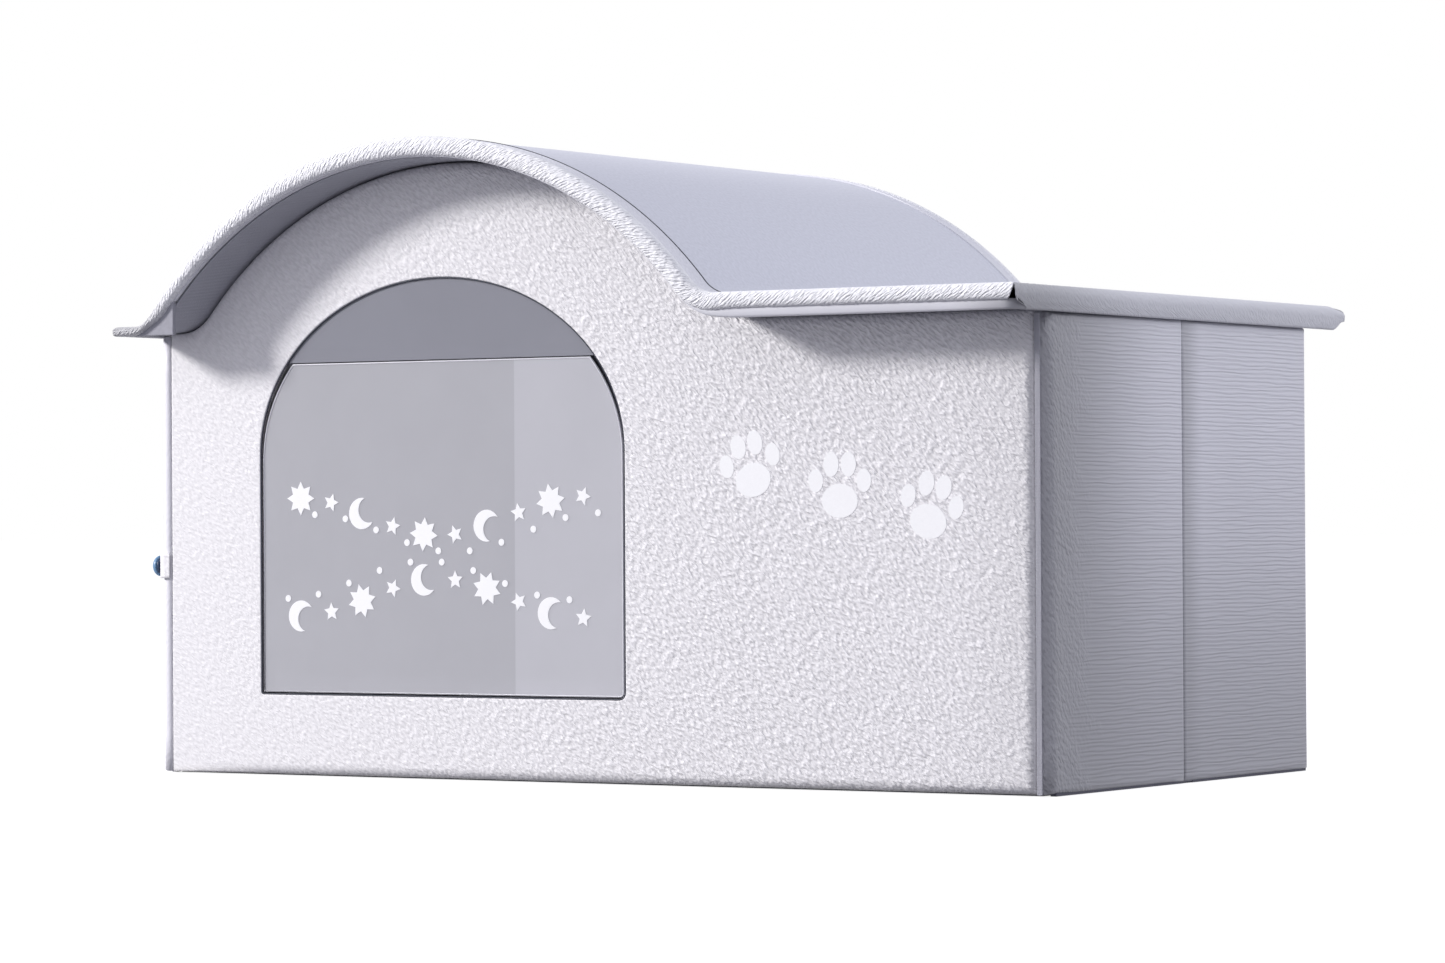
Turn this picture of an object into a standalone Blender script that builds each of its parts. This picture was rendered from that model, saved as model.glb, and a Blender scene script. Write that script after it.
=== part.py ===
"""Folding pet house: leatherette panels on boards, an S-shaped lift-up roof, a clear door film and a floor cushion.

Metres, +Z up. The origin is on the floor below the middle of the walls, and the front faces -Y.
Each wall is a cover, a board and a lining. The side walls fold inwards at half depth.
"""

import math

import bmesh
import bpy
from mathutils import Matrix

# Clearances
GAP = 0.0003            # between pieces that lie on each other
END_GAP = 0.0004        # between the end of a front or rear wall and the side leaf that covers it
CREASE_GAP = 0.0006     # between the two leaves of a side wall

# House
INNER_WIDTH = 0.800     # between the side walls' inner faces
HOUSE_DEPTH = 0.432     # over the front and rear walls' outer faces
EAVE_HEIGHT = 0.357     # underside of the roof's flat parts

# Layers of a wall, from outside to inside
SKIN = 0.0013
BOARD = 0.0050
LINING = 0.0041
HEM_RISE = 0.0012       # the board shows this much below the cover
EDGE_ROUND = 0.0022     # rounding of a cover's outer edges
EDGE_STEPS = 2

# Roof's S-shaped line, on its underside
ARCH_LEFT = 0.0033      # from the left wall's inner face to the arch's left foot
ARCH_SPAN = 0.5535      # between the arch's two feet
ARCH_RISE = 0.1285      # from the flat parts to the arch's top
FOOT_RADIUS = 0.045     # concave curve at each foot
ARCH_FACETS = 16
FOOT_FACETS = 5

# Roof
FRONT_OVERHANG = 0.055  # past the front wall
REAR_OVERHANG = 0.064   # past the rear wall
ROOF_SIDE = 0.0045      # past the side walls' outer faces
ROOF_LINING = 0.0013
ROOF_BOARD = 0.0118
ROOF_TOP = 0.0013
RIM_PROUD = 0.0010      # a rim binding stands this much above the top cover
RIM_WEB = 0.0030        # thickness of a binding round the board's edge
FRONT_BAND = 0.027      # width of the front binding
REAR_BAND = 0.022
SIDE_BAND = 0.020       # width of the left and right bindings
RIM_ROUND = 0.0035
ROOF_HINGE_OUT = 0.0015  # roof's axis behind the rear wall

# Door
DOOR_FROM_LEFT = 0.267  # from the left wall's inner face to the doorway's centreline
DOOR_WIDTH = 0.351
DOOR_SPRING = 0.257     # height where the half oval starts
DOOR_RISE = 0.138       # height of the half oval
DOOR_SILL = 0.065
DOOR_CORNER = 0.006     # rounding of the two lower corners
DOOR_FACETS = 20
CORNER_FACETS = 3
FILM = 0.0008
FILM_MARGIN = 0.010     # the header film reaches this far behind the wall
HEADER_LINE = 0.330     # the film swings below this height
FILM_SPLIT = 0.0008     # between header and flap
FLAP_CLEAR = 0.0020     # between flap and doorway
FLAP_DROP = 0.0040      # the flap's oval lies this much lower, which lets it swing through
HEM_HEIGHT = 0.011
HEM_THICK = 0.0010
HEM_INSET = 0.010
LINING_SETBACK = 0.0010

# Hinge tapes
TAPE = 0.0008
CORNER_TAPE_LEG = 0.018
CREASE_TAPE = 0.0006
CREASE_TAPE_HALF = 0.015
ROOF_TAPE_LEG = 0.022
ROOF_TAPE_INSET = 0.012

# Hook and loop strips between the side walls and the roof
STRIP = 0.0010
STRIP_WIDTH = 0.0070
STRIP_START = 0.050     # from the crease
STRIP_LENGTH = 0.110

# Closure tab and its press stud, on the left wall's front edge
TAB = 0.0012
TAB_HEIGHT = 0.020
TAB_LENGTH = 0.020      # along the leaf's outer face
TAB_CENTRE_Z = 0.168
TAB_SEAM_GAP = 0.0008
STUD_RADIUS = 0.0040
STUD_HEIGHT = 0.0018
CAP_RADIUS = 0.0075
CAP_HEIGHT = 0.0050
CAP_BASE = 0.0015
CAP_BASE_RADIUS = 0.0068
CAP_FROM_EDGE = 0.009   # from the leaf's front edge to the stud's centre
ROUND_STEPS = 20
DOME_STEPS = 4

# Floor
BASE_CLOTH = 0.0012
BASE_INSET = 0.0008
CUSHION_INSET = 0.008
CUSHION_HEIGHT = 0.060
CUSHION_SEAM = 0.40     # height of its side seam, as a share of its height
CUSHION_PULL = 0.007    # how far its sides are drawn in between the corners
CUSHION_CROWN = 0.12    # share of its height that only the middle reaches
CUSHION_COLUMNS = 24
CUSHION_ROWS = 16

# Worked out from the sizes above
WALL = SKIN + BOARD + LINING + 2 * GAP
INNER_X = INNER_WIDTH / 2
OUTER_X = INNER_X + WALL
WALL_END = INNER_X - END_GAP
HALF_DEPTH = HOUSE_DEPTH / 2
INNER_Y = HALF_DEPTH - WALL
LEAF_TOP = EAVE_HEIGHT - 3 * GAP - 2 * STRIP
RIM = ROOF_LINING + ROOF_BOARD + ROOF_TOP + 2 * GAP + RIM_PROUD
ROOF_END = OUTER_X + ROOF_SIDE
ROOF_FRONT = -HALF_DEPTH - FRONT_OVERHANG
ROOF_REAR = HALF_DEPTH + REAR_OVERHANG
FRONT_SEAM = ROOF_FRONT + FRONT_BAND
REAR_SEAM = ROOF_REAR - REAR_BAND
DOOR_X = -INNER_X + DOOR_FROM_LEFT
DOOR_HALF = DOOR_WIDTH / 2
FILM_DEPTH = SKIN + GAP
FEET_Z = EAVE_HEIGHT + FOOT_RADIUS
ARCH_TOP = EAVE_HEIGHT + ARCH_RISE
ARCH_X = -INNER_X + ARCH_LEFT + ARCH_SPAN / 2
FEET_DROP = FEET_Z - ARCH_TOP
ARCH_RADIUS = ((ARCH_SPAN / 2) ** 2 + FEET_DROP**2 - FOOT_RADIUS**2) / (2 * (FOOT_RADIUS - FEET_DROP))
ARCH_Z = ARCH_TOP - ARCH_RADIUS
FOOT_ANGLE = math.atan2(FEET_Z - ARCH_Z, ARCH_SPAN / 2)
STUD_X = -OUTER_X - GAP
TAB_X = STUD_X - STUD_HEIGHT - GAP
TAB_Y = -HALF_DEPTH - GAP
CAP_BASE_X = TAB_X - TAB - GAP
CAP_X = CAP_BASE_X - CAP_BASE - GAP
CAP_Y = -HALF_DEPTH + CAP_FROM_EDGE

# Where the moving pieces turn: name, place and the axis that carries it
FOLD_AXES = (
    ("right_rear_leaf_axis", (INNER_X, INNER_Y, 0), None),
    ("right_front_leaf_axis", (OUTER_X, 0, 0), "right_rear_leaf_axis"),
    ("front_wall_axis", (INNER_X, -INNER_Y, 0), "right_front_leaf_axis"),
    ("left_rear_leaf_axis", (-INNER_X, INNER_Y, 0), None),
    ("left_front_leaf_axis", (-OUTER_X, 0, 0), "left_rear_leaf_axis"),
    ("roof_axis", (0, HALF_DEPTH + ROOF_HINGE_OUT, EAVE_HEIGHT), None),
    ("door_flap_axis", (DOOR_X, -HALF_DEPTH + FILM_DEPTH + FILM / 2, HEADER_LINE), "front_wall_axis"),
    ("closure_tab_axis", (-INNER_X - TAB_SEAM_GAP, TAB_Y - TAB / 2, TAB_CENTRE_Z), "left_front_leaf_axis"),
)

FINISHES = {
    "leatherette": ((0.80, 0.79, 0.84), 0.55, 0.0),
    "side_leatherette": ((0.66, 0.66, 0.74), 0.55, 0.0),
    "roof_sheet": ((0.58, 0.59, 0.68), 0.38, 0.0),
    "lining_cloth": ((0.55, 0.55, 0.60), 0.85, 0.0),
    "stiff_board": ((0.16, 0.16, 0.19), 0.70, 0.0),
    "tinted_film": ((0.46, 0.46, 0.50), 0.20, 0.0),
    "hinge_tape": ((0.40, 0.40, 0.45), 0.85, 0.0),
    "hook_and_loop": ((0.62, 0.62, 0.66), 0.95, 0.0),
    "base_cloth": ((0.20, 0.20, 0.24), 0.85, 0.0),
    "cushion_cloth": ((0.64, 0.63, 0.68), 0.90, 0.0),
    "blue_cap": ((0.19, 0.32, 0.48), 0.30, 0.0),
    "navy_base": ((0.03, 0.07, 0.16), 0.35, 0.0),
    "stud_metal": ((0.60, 0.60, 0.62), 0.30, 1.0),
}


def clear_scene():
    for obj in list(bpy.data.objects):
        bpy.data.objects.remove(obj, do_unlink=True)


def finish(name):
    """The finish's material, made once for each piece so that each piece can be changed alone."""
    colour, roughness, metallic = FINISHES[name]
    mat = bpy.data.materials.new(name)
    mat.use_nodes = True
    shader = mat.node_tree.nodes["Principled BSDF"]
    shader.inputs["Base Color"].default_value = (*colour, 1.0)
    shader.inputs["Roughness"].default_value = roughness
    shader.inputs["Metallic"].default_value = metallic
    return mat


def make_axes():
    for name, place, parent in FOLD_AXES:
        empty = bpy.data.objects.new(name, None)
        bpy.context.collection.objects.link(empty)
        empty.location = place
        empty.empty_display_size = 0.02
        carry(empty, parent)


def carry(obj, axis):
    """Parents an object to a joint's empty and keeps its place in the world."""
    if axis:
        place = {name: at for name, at, _ in FOLD_AXES}[axis]
        obj.parent = bpy.data.objects[axis]
        obj.matrix_parent_inverse = Matrix.Translation([-v for v in place])


def add_piece(name, bm, finish_name, axis=None):
    """Turns a closed bmesh, in world coordinates, into a named piece."""
    mesh = bpy.data.meshes.new(name)
    bm.to_mesh(mesh)
    bm.free()
    obj = bpy.data.objects.new(name, mesh)
    bpy.context.collection.objects.link(obj)
    mesh.materials.append(finish(finish_name))
    carry(obj, axis)
    return obj


def cut(obj, bm):
    """Takes a closed bmesh away from a piece."""
    label = f"{obj.name}_cut_{len(obj.modifiers)}"
    mesh = bpy.data.meshes.new(label)
    bm.to_mesh(mesh)
    bm.free()
    cutter = bpy.data.objects.new(label, mesh)
    bpy.context.collection.objects.link(cutter)
    cutter.hide_render = True
    cutter.display_type = "WIRE"
    cutter.parent = obj.parent
    cutter.matrix_parent_inverse = obj.matrix_parent_inverse
    modifier = obj.modifiers.new(label, "BOOLEAN")
    modifier.operation = "DIFFERENCE"
    modifier.solver = "EXACT"
    modifier.object = cutter


def placed(u, v, w, across):
    """A point from its two outline coordinates and its place along the extrusion axis."""
    return {"X": (w, u, v), "Y": (u, w, v), "Z": (u, v, w)}[across]


def plate(outline, start, stop, across, holes=(), soften=None):
    """Closed plate: an outline, with holes, extruded along an axis. soften picks edges of the start face to round."""
    bm = bmesh.new()
    rims = []
    for points in (outline, *holes):
        verts = [bm.verts.new(placed(u, v, start, across)) for u, v in points]
        rims += [bm.edges.new(pair) for pair in zip(verts, verts[1:] + verts[:1])]
    bmesh.ops.triangle_fill(bm, use_beauty=True, edges=rims)
    swept = bmesh.ops.extrude_face_region(bm, geom=bm.faces[:])
    far = [item for item in swept["geom"] if isinstance(item, bmesh.types.BMVert)]
    bmesh.ops.translate(bm, verts=far, vec=placed(0, 0, stop - start, across))
    bmesh.ops.recalc_face_normals(bm, faces=bm.faces[:])
    if soften:
        chosen = [edge for edge in rims if edge.is_valid and soften(edge)]
        bmesh.ops.bevel(
            bm, geom=chosen, offset=EDGE_ROUND, segments=EDGE_STEPS, profile=0.5, affect="EDGES", clamp_overlap=True
        )
    return bm


def block(low, high):
    """Closed box between two corners, in any order."""
    outline = [(low[0], low[1]), (high[0], low[1]), (high[0], high[1]), (low[0], high[1])]
    return plate(outline, low[2], high[2], "Z")


def oval(centre, half_width, half_height, first, last, facets):
    """Points along part of an ellipse, ends included; angles in radians."""
    steps = [first + (last - first) * i / facets for i in range(facets + 1)]
    return [(centre[0] + half_width * math.cos(a), centre[1] + half_height * math.sin(a)) for a in steps]


def arc(centre, radius, first, last, facets):
    return oval(centre, radius, radius, first, last, facets)


def clipped(points, low, high):
    """The stretch of a left-to-right line between two x values."""
    kept = []
    for (x0, z0), (x1, z1) in zip(points, points[1:]):
        if x1 <= low or x0 >= high:
            continue
        for x in (max(x0, low), min(x1, high)):
            point = (x, z0 + (z1 - z0) * (x - x0) / (x1 - x0))
            if not kept or point[0] - kept[-1][0] > GAP / 10:
                kept.append(point)
    return kept


def roof_line(offset, low, high):
    """The S-shaped line from left to right, moved outwards by offset and cut at two x values."""
    left_foot = (ARCH_X - ARCH_SPAN / 2, FEET_Z)
    right_foot = (ARCH_X + ARCH_SPAN / 2, FEET_Z)
    far = INNER_WIDTH + ARCH_SPAN
    points = [(-far, EAVE_HEIGHT + offset)]
    points += arc(left_foot, FOOT_RADIUS - offset, -math.pi / 2, -FOOT_ANGLE, FOOT_FACETS)
    points += arc((ARCH_X, ARCH_Z), ARCH_RADIUS + offset, math.pi - FOOT_ANGLE, FOOT_ANGLE, ARCH_FACETS)[1:-1]
    points += arc(right_foot, FOOT_RADIUS - offset, math.pi + FOOT_ANGLE, 1.5 * math.pi, FOOT_FACETS)
    points += [(far, EAVE_HEIGHT + offset)]
    return clipped(points, low, high)


def ribbon(inner, outer, low, high):
    """Outline of a roof layer between two offsets."""
    return roof_line(inner, low, high) + roof_line(outer, low, high)[::-1]


def wall_outline(inset, bottom):
    """Front or rear wall's outline, drawn in from its top and ends by inset."""
    end = WALL_END - inset
    return [(-end, bottom)] + roof_line(-GAP - inset, -end, end) + [(end, bottom)]


def door_foot(grow):
    """The doorway's lower edge with its two rounded corners, from left to right."""
    reach = DOOR_HALF - DOOR_CORNER
    level = DOOR_SILL + DOOR_CORNER
    radius = DOOR_CORNER + grow
    left = arc((DOOR_X - reach, level), radius, math.pi, 1.5 * math.pi, CORNER_FACETS)
    return left + arc((DOOR_X + reach, level), radius, -math.pi / 2, 0, CORNER_FACETS)


def door_arch(grow, drop, first, last, facets):
    """A stretch of the doorway's half oval, made larger by grow and lowered by drop."""
    return oval((DOOR_X, DOOR_SPRING - drop), DOOR_HALF + grow, DOOR_RISE + grow, first, last, facets)


def door_outline(grow):
    """The doorway: a half oval on straight sides, made larger by grow."""
    return door_foot(grow) + door_arch(grow, 0, 0, math.pi, DOOR_FACETS)


def jamb_outline():
    """The doorway's turned-in edge, which stops below the header film."""
    chord = HEADER_LINE - FILM_SPLIT
    points = door_outline(SKIN)
    kept = []
    for (u0, v0), (u1, v1) in zip(points, points[1:] + points[:1]):
        if v0 <= chord:
            kept.append((u0, v0))
        if (v0 - chord) * (v1 - chord) < 0:
            kept.append((u0 + (u1 - u0) * (chord - v0) / (v1 - v0), chord))
    return kept


def header_outline(grow):
    """The fixed film above the header line, with its margin behind the wall."""
    margin = FILM_MARGIN + grow
    chord = HEADER_LINE + FILM_SPLIT / 2 - grow
    angle = math.asin((chord - DOOR_SPRING) / (DOOR_RISE + margin))
    return door_arch(margin, 0, angle, math.pi - angle, DOOR_FACETS)


def flap_outline():
    """The swinging film: the doorway less its clearance, cut at the header line."""
    top = HEADER_LINE - FILM_SPLIT / 2
    angle = math.asin((top - DOOR_SPRING + FLAP_DROP) / (DOOR_RISE - FLAP_CLEAR))
    left = door_arch(-FLAP_CLEAR, FLAP_DROP, math.pi - angle, math.pi, DOOR_FACETS // 4)
    right = door_arch(-FLAP_CLEAR, FLAP_DROP, 0, angle, DOOR_FACETS // 4)
    return left + door_foot(-FLAP_CLEAR) + right


def turned(profile, centre, direction):
    """Closed solid turned about an X axis through centre. The profile runs (radius, height), pole to pole."""
    bm = bmesh.new()
    rings = []
    for radius, height in profile:
        count = ROUND_STEPS if radius > 0 else 1
        turn = [2 * math.pi * i / count for i in range(count)]
        x = centre[0] + direction * height
        rings.append([
            bm.verts.new((x, centre[1] + radius * math.cos(a), centre[2] + radius * math.sin(a))) for a in turn
        ])
    for ring, other in zip(rings, rings[1:]):
        for i in range(ROUND_STEPS):
            corners = [ring[i % len(ring)], ring[(i + 1) % len(ring)]]
            corners += [other[(i + 1) % len(other)], other[i % len(other)]]
            bm.faces.new(list(dict.fromkeys(corners)))
    bmesh.ops.recalc_face_normals(bm, faces=bm.faces[:])
    return bm


def on_level(edge, axis, value):
    return all(abs(vert.co[axis] - value) < GAP / 10 for vert in edge.verts)


def make_wall(name, facing, axis, doors):
    """Cover, board and lining of the front (facing -1) or rear (facing 1) wall. doors holds the doorway, if any."""
    outer = facing * HALF_DEPTH
    behind_skin = outer - facing * SKIN
    board_front = behind_skin - facing * GAP
    board_back = board_front - facing * BOARD
    lining_front = board_back - facing * GAP
    inner = facing * INNER_Y
    beyond = inner - facing * WALL

    def outer_edge(edge):
        return not on_level(edge, 2, HEM_RISE)

    openings = [door_outline(0)] * doors
    cover = add_piece(
        f"{name}_cover",
        plate(wall_outline(0, HEM_RISE), outer, inner, "Y", openings, outer_edge),
        "leatherette",
        axis,
    )
    linings = [jamb_outline()] * doors
    cut(cover, plate(wall_outline(SKIN, -WALL), behind_skin, lining_front, "Y", linings))
    cut(cover, plate(wall_outline(SKIN, -WALL), board_back, beyond, "Y"))
    inset = SKIN + GAP
    board_holes = [door_outline(inset)] * doors
    board = add_piece(
        f"{name}_board",
        plate(wall_outline(inset, 0), board_front, board_back, "Y", board_holes),
        "stiff_board",
        axis,
    )
    lining_holes = [door_outline(LINING_SETBACK)] * doors
    add_piece(
        f"{name}_lining",
        plate(wall_outline(inset, HEM_RISE), lining_front, inner, "Y", lining_holes),
        "lining_cloth",
        axis,
    )
    return board


def make_front_and_rear_walls():
    make_wall("rear_wall", 1, None, 0)
    board = make_wall("front_wall", -1, "front_wall_axis", 1)
    film_back = -HALF_DEPTH + FILM_DEPTH + FILM
    cut(board, plate(header_outline(2 * GAP), -HALF_DEPTH, film_back + GAP, "Y"))


def make_leaf(side, end):
    """One leaf of a side wall. side is 1 on the right; end is 1 at the rear."""
    words = f"{'right' if side > 0 else 'left'}_{'rear' if end > 0 else 'front'}"
    axis = f"{words}_leaf_axis"
    inner, outer = side * INNER_X, side * OUTER_X
    crease, corner = end * CREASE_GAP / 2, end * HALF_DEPTH
    behind_skin = outer - side * SKIN
    board_outer = behind_skin - side * GAP
    board_inner = board_outer - side * BOARD
    inset = SKIN + GAP

    def outer_edge(edge):
        return not on_level(edge, 2, HEM_RISE) and not on_level(edge, 1, crease)

    outline = [(crease, HEM_RISE), (corner, HEM_RISE), (corner, LEAF_TOP), (crease, LEAF_TOP)]
    cover = add_piece(
        f"{words}_cover", plate(outline, outer, inner, "X", soften=outer_edge), "side_leatherette", axis
    )
    cut(cover, block((behind_skin, -crease, -WALL), (inner - side * WALL, corner - end * SKIN, LEAF_TOP - SKIN)))
    board_end = corner - end * inset
    step_y = end * (CREASE_TAPE_HALF + GAP)
    step_x = board_outer - side * (CREASE_TAPE + GAP)
    plan = [(board_inner, crease), (board_inner, board_end), (board_outer, board_end)]
    plan += [(board_outer, step_y), (step_x, step_y), (step_x, crease)]
    add_piece(f"{words}_board", plate(plan, 0, LEAF_TOP - inset, "Z"), "stiff_board", axis)
    lining_low = (inner, crease, HEM_RISE)
    lining_high = (inner + side * LINING, board_end, LEAF_TOP - inset)
    add_piece(f"{words}_lining", block(lining_low, lining_high), "lining_cloth", axis)
    strip_x = (inner + outer) / 2
    strip_low = (strip_x - STRIP_WIDTH / 2, end * STRIP_START, LEAF_TOP + GAP)
    strip_high = (strip_x + STRIP_WIDTH / 2, end * (STRIP_START + STRIP_LENGTH), LEAF_TOP + GAP + STRIP)
    add_piece(f"{words}_hook_strip", block(strip_low, strip_high), "hook_and_loop", axis)
    rise = STRIP + GAP
    loop_low = (*strip_low[:2], strip_low[2] + rise)
    loop_high = (*strip_high[:2], strip_high[2] + rise)
    add_piece(f"{words}_loop_strip", block(loop_low, loop_high), "hook_and_loop", "roof_axis")


def make_hinge_tapes():
    """Fabric tapes in the four inner corners, behind the two fold lines and at the roof's rear eave."""
    for side in (1, -1):
        words = "right" if side > 0 else "left"
        for end in (1, -1):
            x, y = side * (INNER_X - GAP), end * (INNER_Y - GAP)
            thick_x, thick_y = x - side * TAPE, y - end * TAPE
            leg_x, leg_y = x - side * CORNER_TAPE_LEG, y - end * CORNER_TAPE_LEG
            plan = [(x, y), (leg_x, y), (leg_x, thick_y), (thick_x, thick_y), (thick_x, leg_y), (x, leg_y)]
            tape = plate(plan, BASE_CLOTH + GAP, LEAF_TOP - SKIN, "Z")
            axis = "front_wall_axis" if end < 0 else None
            add_piece(f"{words}_{'rear' if end > 0 else 'front'}_corner_tape", tape, "hinge_tape", axis)
        outer = side * (OUTER_X - SKIN - GAP)
        low = (outer, -CREASE_TAPE_HALF, HEM_RISE)
        high = (outer - side * CREASE_TAPE, CREASE_TAPE_HALF, LEAF_TOP - SKIN - GAP)
        add_piece(f"{words}_crease_tape", block(low, high), "hinge_tape", f"{words}_rear_leaf_axis")
    y, z = HALF_DEPTH + GAP, EAVE_HEIGHT - GAP
    section = [(y, z), (y + ROOF_TAPE_LEG, z), (y + ROOF_TAPE_LEG, z - TAPE), (y + TAPE, z - TAPE)]
    section += [(y + TAPE, z - ROOF_TAPE_LEG), (y, z - ROOF_TAPE_LEG)]
    start = ARCH_X + ARCH_SPAN / 2 + ROOF_TAPE_INSET
    add_piece("roof_hinge_tape", plate(section, start, INNER_X - ROOF_TAPE_INSET, "X"), "hinge_tape")


def rim_binding(name, outline, slot, reach, slot_reach):
    """U-shaped binding round one edge of the roof board."""
    binding = add_piece(name, plate(outline, *reach, "Y"), "leatherette", "roof_axis")
    cut(binding, plate(slot, *slot_reach, "Y"))
    return binding


def make_roof():
    """Lining, board and top cover, with a binding on each edge."""
    board_low = ROOF_LINING + GAP
    board_high = board_low + ROOF_BOARD
    top_low = board_high + GAP
    band_x = ROOF_END - SIDE_BAND - GAP
    slot_x = ROOF_END - RIM_WEB
    edge = RIM_WEB + GAP
    board_x = ROOF_END - edge
    board_y = (ROOF_FRONT + edge, ROOF_REAR - edge)
    inside_y = (FRONT_SEAM + GAP, REAR_SEAM - GAP)
    layers = (
        ("roof_lining", 0, ROOF_LINING, band_x, inside_y, "lining_cloth"),
        ("roof_board", board_low, board_high, board_x, board_y, "stiff_board"),
        ("roof_top_cover", top_low, top_low + ROOF_TOP, band_x, inside_y, "roof_sheet"),
    )
    for name, low, high, half_x, (front, rear), finish_name in layers:
        add_piece(name, plate(ribbon(low, high, -half_x, half_x), front, rear, "Y"), finish_name, "roof_axis")
    whole = ribbon(0, RIM, -ROOF_END, ROOF_END)
    slot = ribbon(ROOF_LINING, top_low, -slot_x, slot_x)
    ends = (("roof_front_binding", ROOF_FRONT, FRONT_SEAM, 1), ("roof_rear_binding", ROOF_REAR, REAR_SEAM, -1))
    for name, rim, seam, inwards in ends:
        slot_y = (rim + inwards * RIM_WEB, seam + inwards * RIM_WEB)
        binding = rim_binding(name, whole, slot, (rim, seam), slot_y)
        round_rim(binding, 1, rim)
    for name, side in (("roof_left_binding", -1), ("roof_right_binding", 1)):
        near, far = sorted((side * (ROOF_END - SIDE_BAND), side * ROOF_END))
        slot_near, slot_far = sorted((side * (ROOF_END - 2 * SIDE_BAND), side * slot_x))
        slot = ribbon(ROOF_LINING, top_low, slot_near, slot_far)
        binding = rim_binding(name, ribbon(0, RIM, near, far), slot, inside_y, (ROOF_FRONT, ROOF_REAR))
        round_rim(binding, 0, side * ROOF_END)


def round_rim(binding, axis, value):
    """Rounds the two long edges of a binding at the roof's rim."""
    bm = bmesh.new()
    bm.from_mesh(binding.data)
    rim = [edge for edge in bm.edges if on_level(edge, axis, value)]
    rim = [edge for edge in rim if edge.calc_face_angle() > math.radians(60)]
    bmesh.ops.bevel(
        bm, geom=rim, offset=RIM_ROUND, segments=EDGE_STEPS, profile=0.5, affect="EDGES", clamp_overlap=True
    )
    bm.to_mesh(binding.data)
    bm.free()


def make_door():
    """Fixed header film, swinging flap film and the flap's hem strip."""
    film_front = -HALF_DEPTH + FILM_DEPTH
    film_back = film_front + FILM
    add_piece("door_header", plate(header_outline(0), film_front, film_back, "Y"), "tinted_film", "front_wall_axis")
    add_piece("door_flap", plate(flap_outline(), film_front, film_back, "Y"), "tinted_film", "door_flap_axis")
    half = DOOR_HALF - FLAP_CLEAR - HEM_INSET
    low = (DOOR_X - half, film_back + GAP, DOOR_SILL + 2 * FLAP_CLEAR)
    high = (DOOR_X + half, film_back + GAP + HEM_THICK, low[2] + HEM_HEIGHT)
    add_piece("door_hem_strip", block(low, high), "tinted_film", "door_flap_axis")


def make_closure_tab():
    """Tab round the left wall's front edge, its domed cap and base, and the stud on the wall."""
    leg_end = -HALF_DEPTH + TAB_LENGTH
    plan = [(-INNER_X - TAB_SEAM_GAP, TAB_Y), (TAB_X, TAB_Y), (TAB_X, leg_end), (TAB_X - TAB, leg_end)]
    plan += [(TAB_X - TAB, TAB_Y - TAB), (-INNER_X - TAB_SEAM_GAP, TAB_Y - TAB)]
    low, high = TAB_CENTRE_Z - TAB_HEIGHT / 2, TAB_CENTRE_Z + TAB_HEIGHT / 2
    add_piece("closure_tab", plate(plan, low, high, "Z"), "leatherette", "closure_tab_axis")
    stud = [(0, 0), (STUD_RADIUS, 0), (STUD_RADIUS, STUD_HEIGHT), (0, STUD_HEIGHT)]
    add_piece("snap_stud", turned(stud, (STUD_X, CAP_Y, TAB_CENTRE_Z), -1), "stud_metal", "left_front_leaf_axis")
    base = [(0, 0), (CAP_BASE_RADIUS, 0), (CAP_BASE_RADIUS, CAP_BASE), (0, CAP_BASE)]
    add_piece("snap_base", turned(base, (CAP_BASE_X, CAP_Y, TAB_CENTRE_Z), -1), "navy_base", "closure_tab_axis")
    dome = arc((0, 0), 1, 0, math.pi / 2, DOME_STEPS)[:-1]
    dome = [(0, 0)] + [(CAP_RADIUS * r, CAP_HEIGHT * h) for r, h in dome] + [(0, CAP_HEIGHT)]
    add_piece("snap_cap", turned(dome, (CAP_X, CAP_Y, TAB_CENTRE_Z), -1), "blue_cap", "closure_tab_axis")


def cushion_point(column, row, upper):
    """A point of the cushion's upper or lower surface. Points lie closer together near its edges."""
    s = math.sin(math.pi * (column / CUSHION_COLUMNS - 0.5))
    t = math.sin(math.pi * (row / CUSHION_ROWS - 0.5))
    x = s * (INNER_X - CUSHION_INSET - CUSHION_PULL * (1 - t * t))
    y = t * (INNER_Y - CUSHION_INSET - CUSHION_PULL * (1 - s * s))
    edge = max(0.0, (1 - s**8) * (1 - t**8))
    crown = 1 - CUSHION_CROWN * (1 - (1 - s * s) * (1 - t * t))
    seam = CUSHION_SEAM * CUSHION_HEIGHT
    lift = (CUSHION_HEIGHT - seam) * math.sqrt(edge) * crown if upper else -seam * min(1.0, 2 * math.sqrt(edge))
    return x, y, BASE_CLOTH + GAP + seam + lift


def make_floor():
    """Base cloth between the walls and a crowned cushion on it."""
    x, y = INNER_X - BASE_INSET, INNER_Y - BASE_INSET
    add_piece("base_cloth", block((-x, -y, 0), (x, y, BASE_CLOTH)), "base_cloth")
    bm = bmesh.new()
    shared = {}

    def vertex(column, row, upper):
        rim = column in (0, CUSHION_COLUMNS) or row in (0, CUSHION_ROWS)
        key = (column, row, upper or rim)
        if key not in shared:
            shared[key] = bm.verts.new(cushion_point(*key))
        return shared[key]

    for column in range(CUSHION_COLUMNS):
        for row in range(CUSHION_ROWS):
            for upper in (True, False):
                corners = ((column, row), (column + 1, row), (column + 1, row + 1), (column, row + 1))
                bm.faces.new([vertex(c, r, upper) for c, r in corners])
    bmesh.ops.recalc_face_normals(bm, faces=bm.faces[:])
    for face in bm.faces:
        face.smooth = True
    add_piece("floor_cushion", bm, "cushion_cloth")


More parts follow.
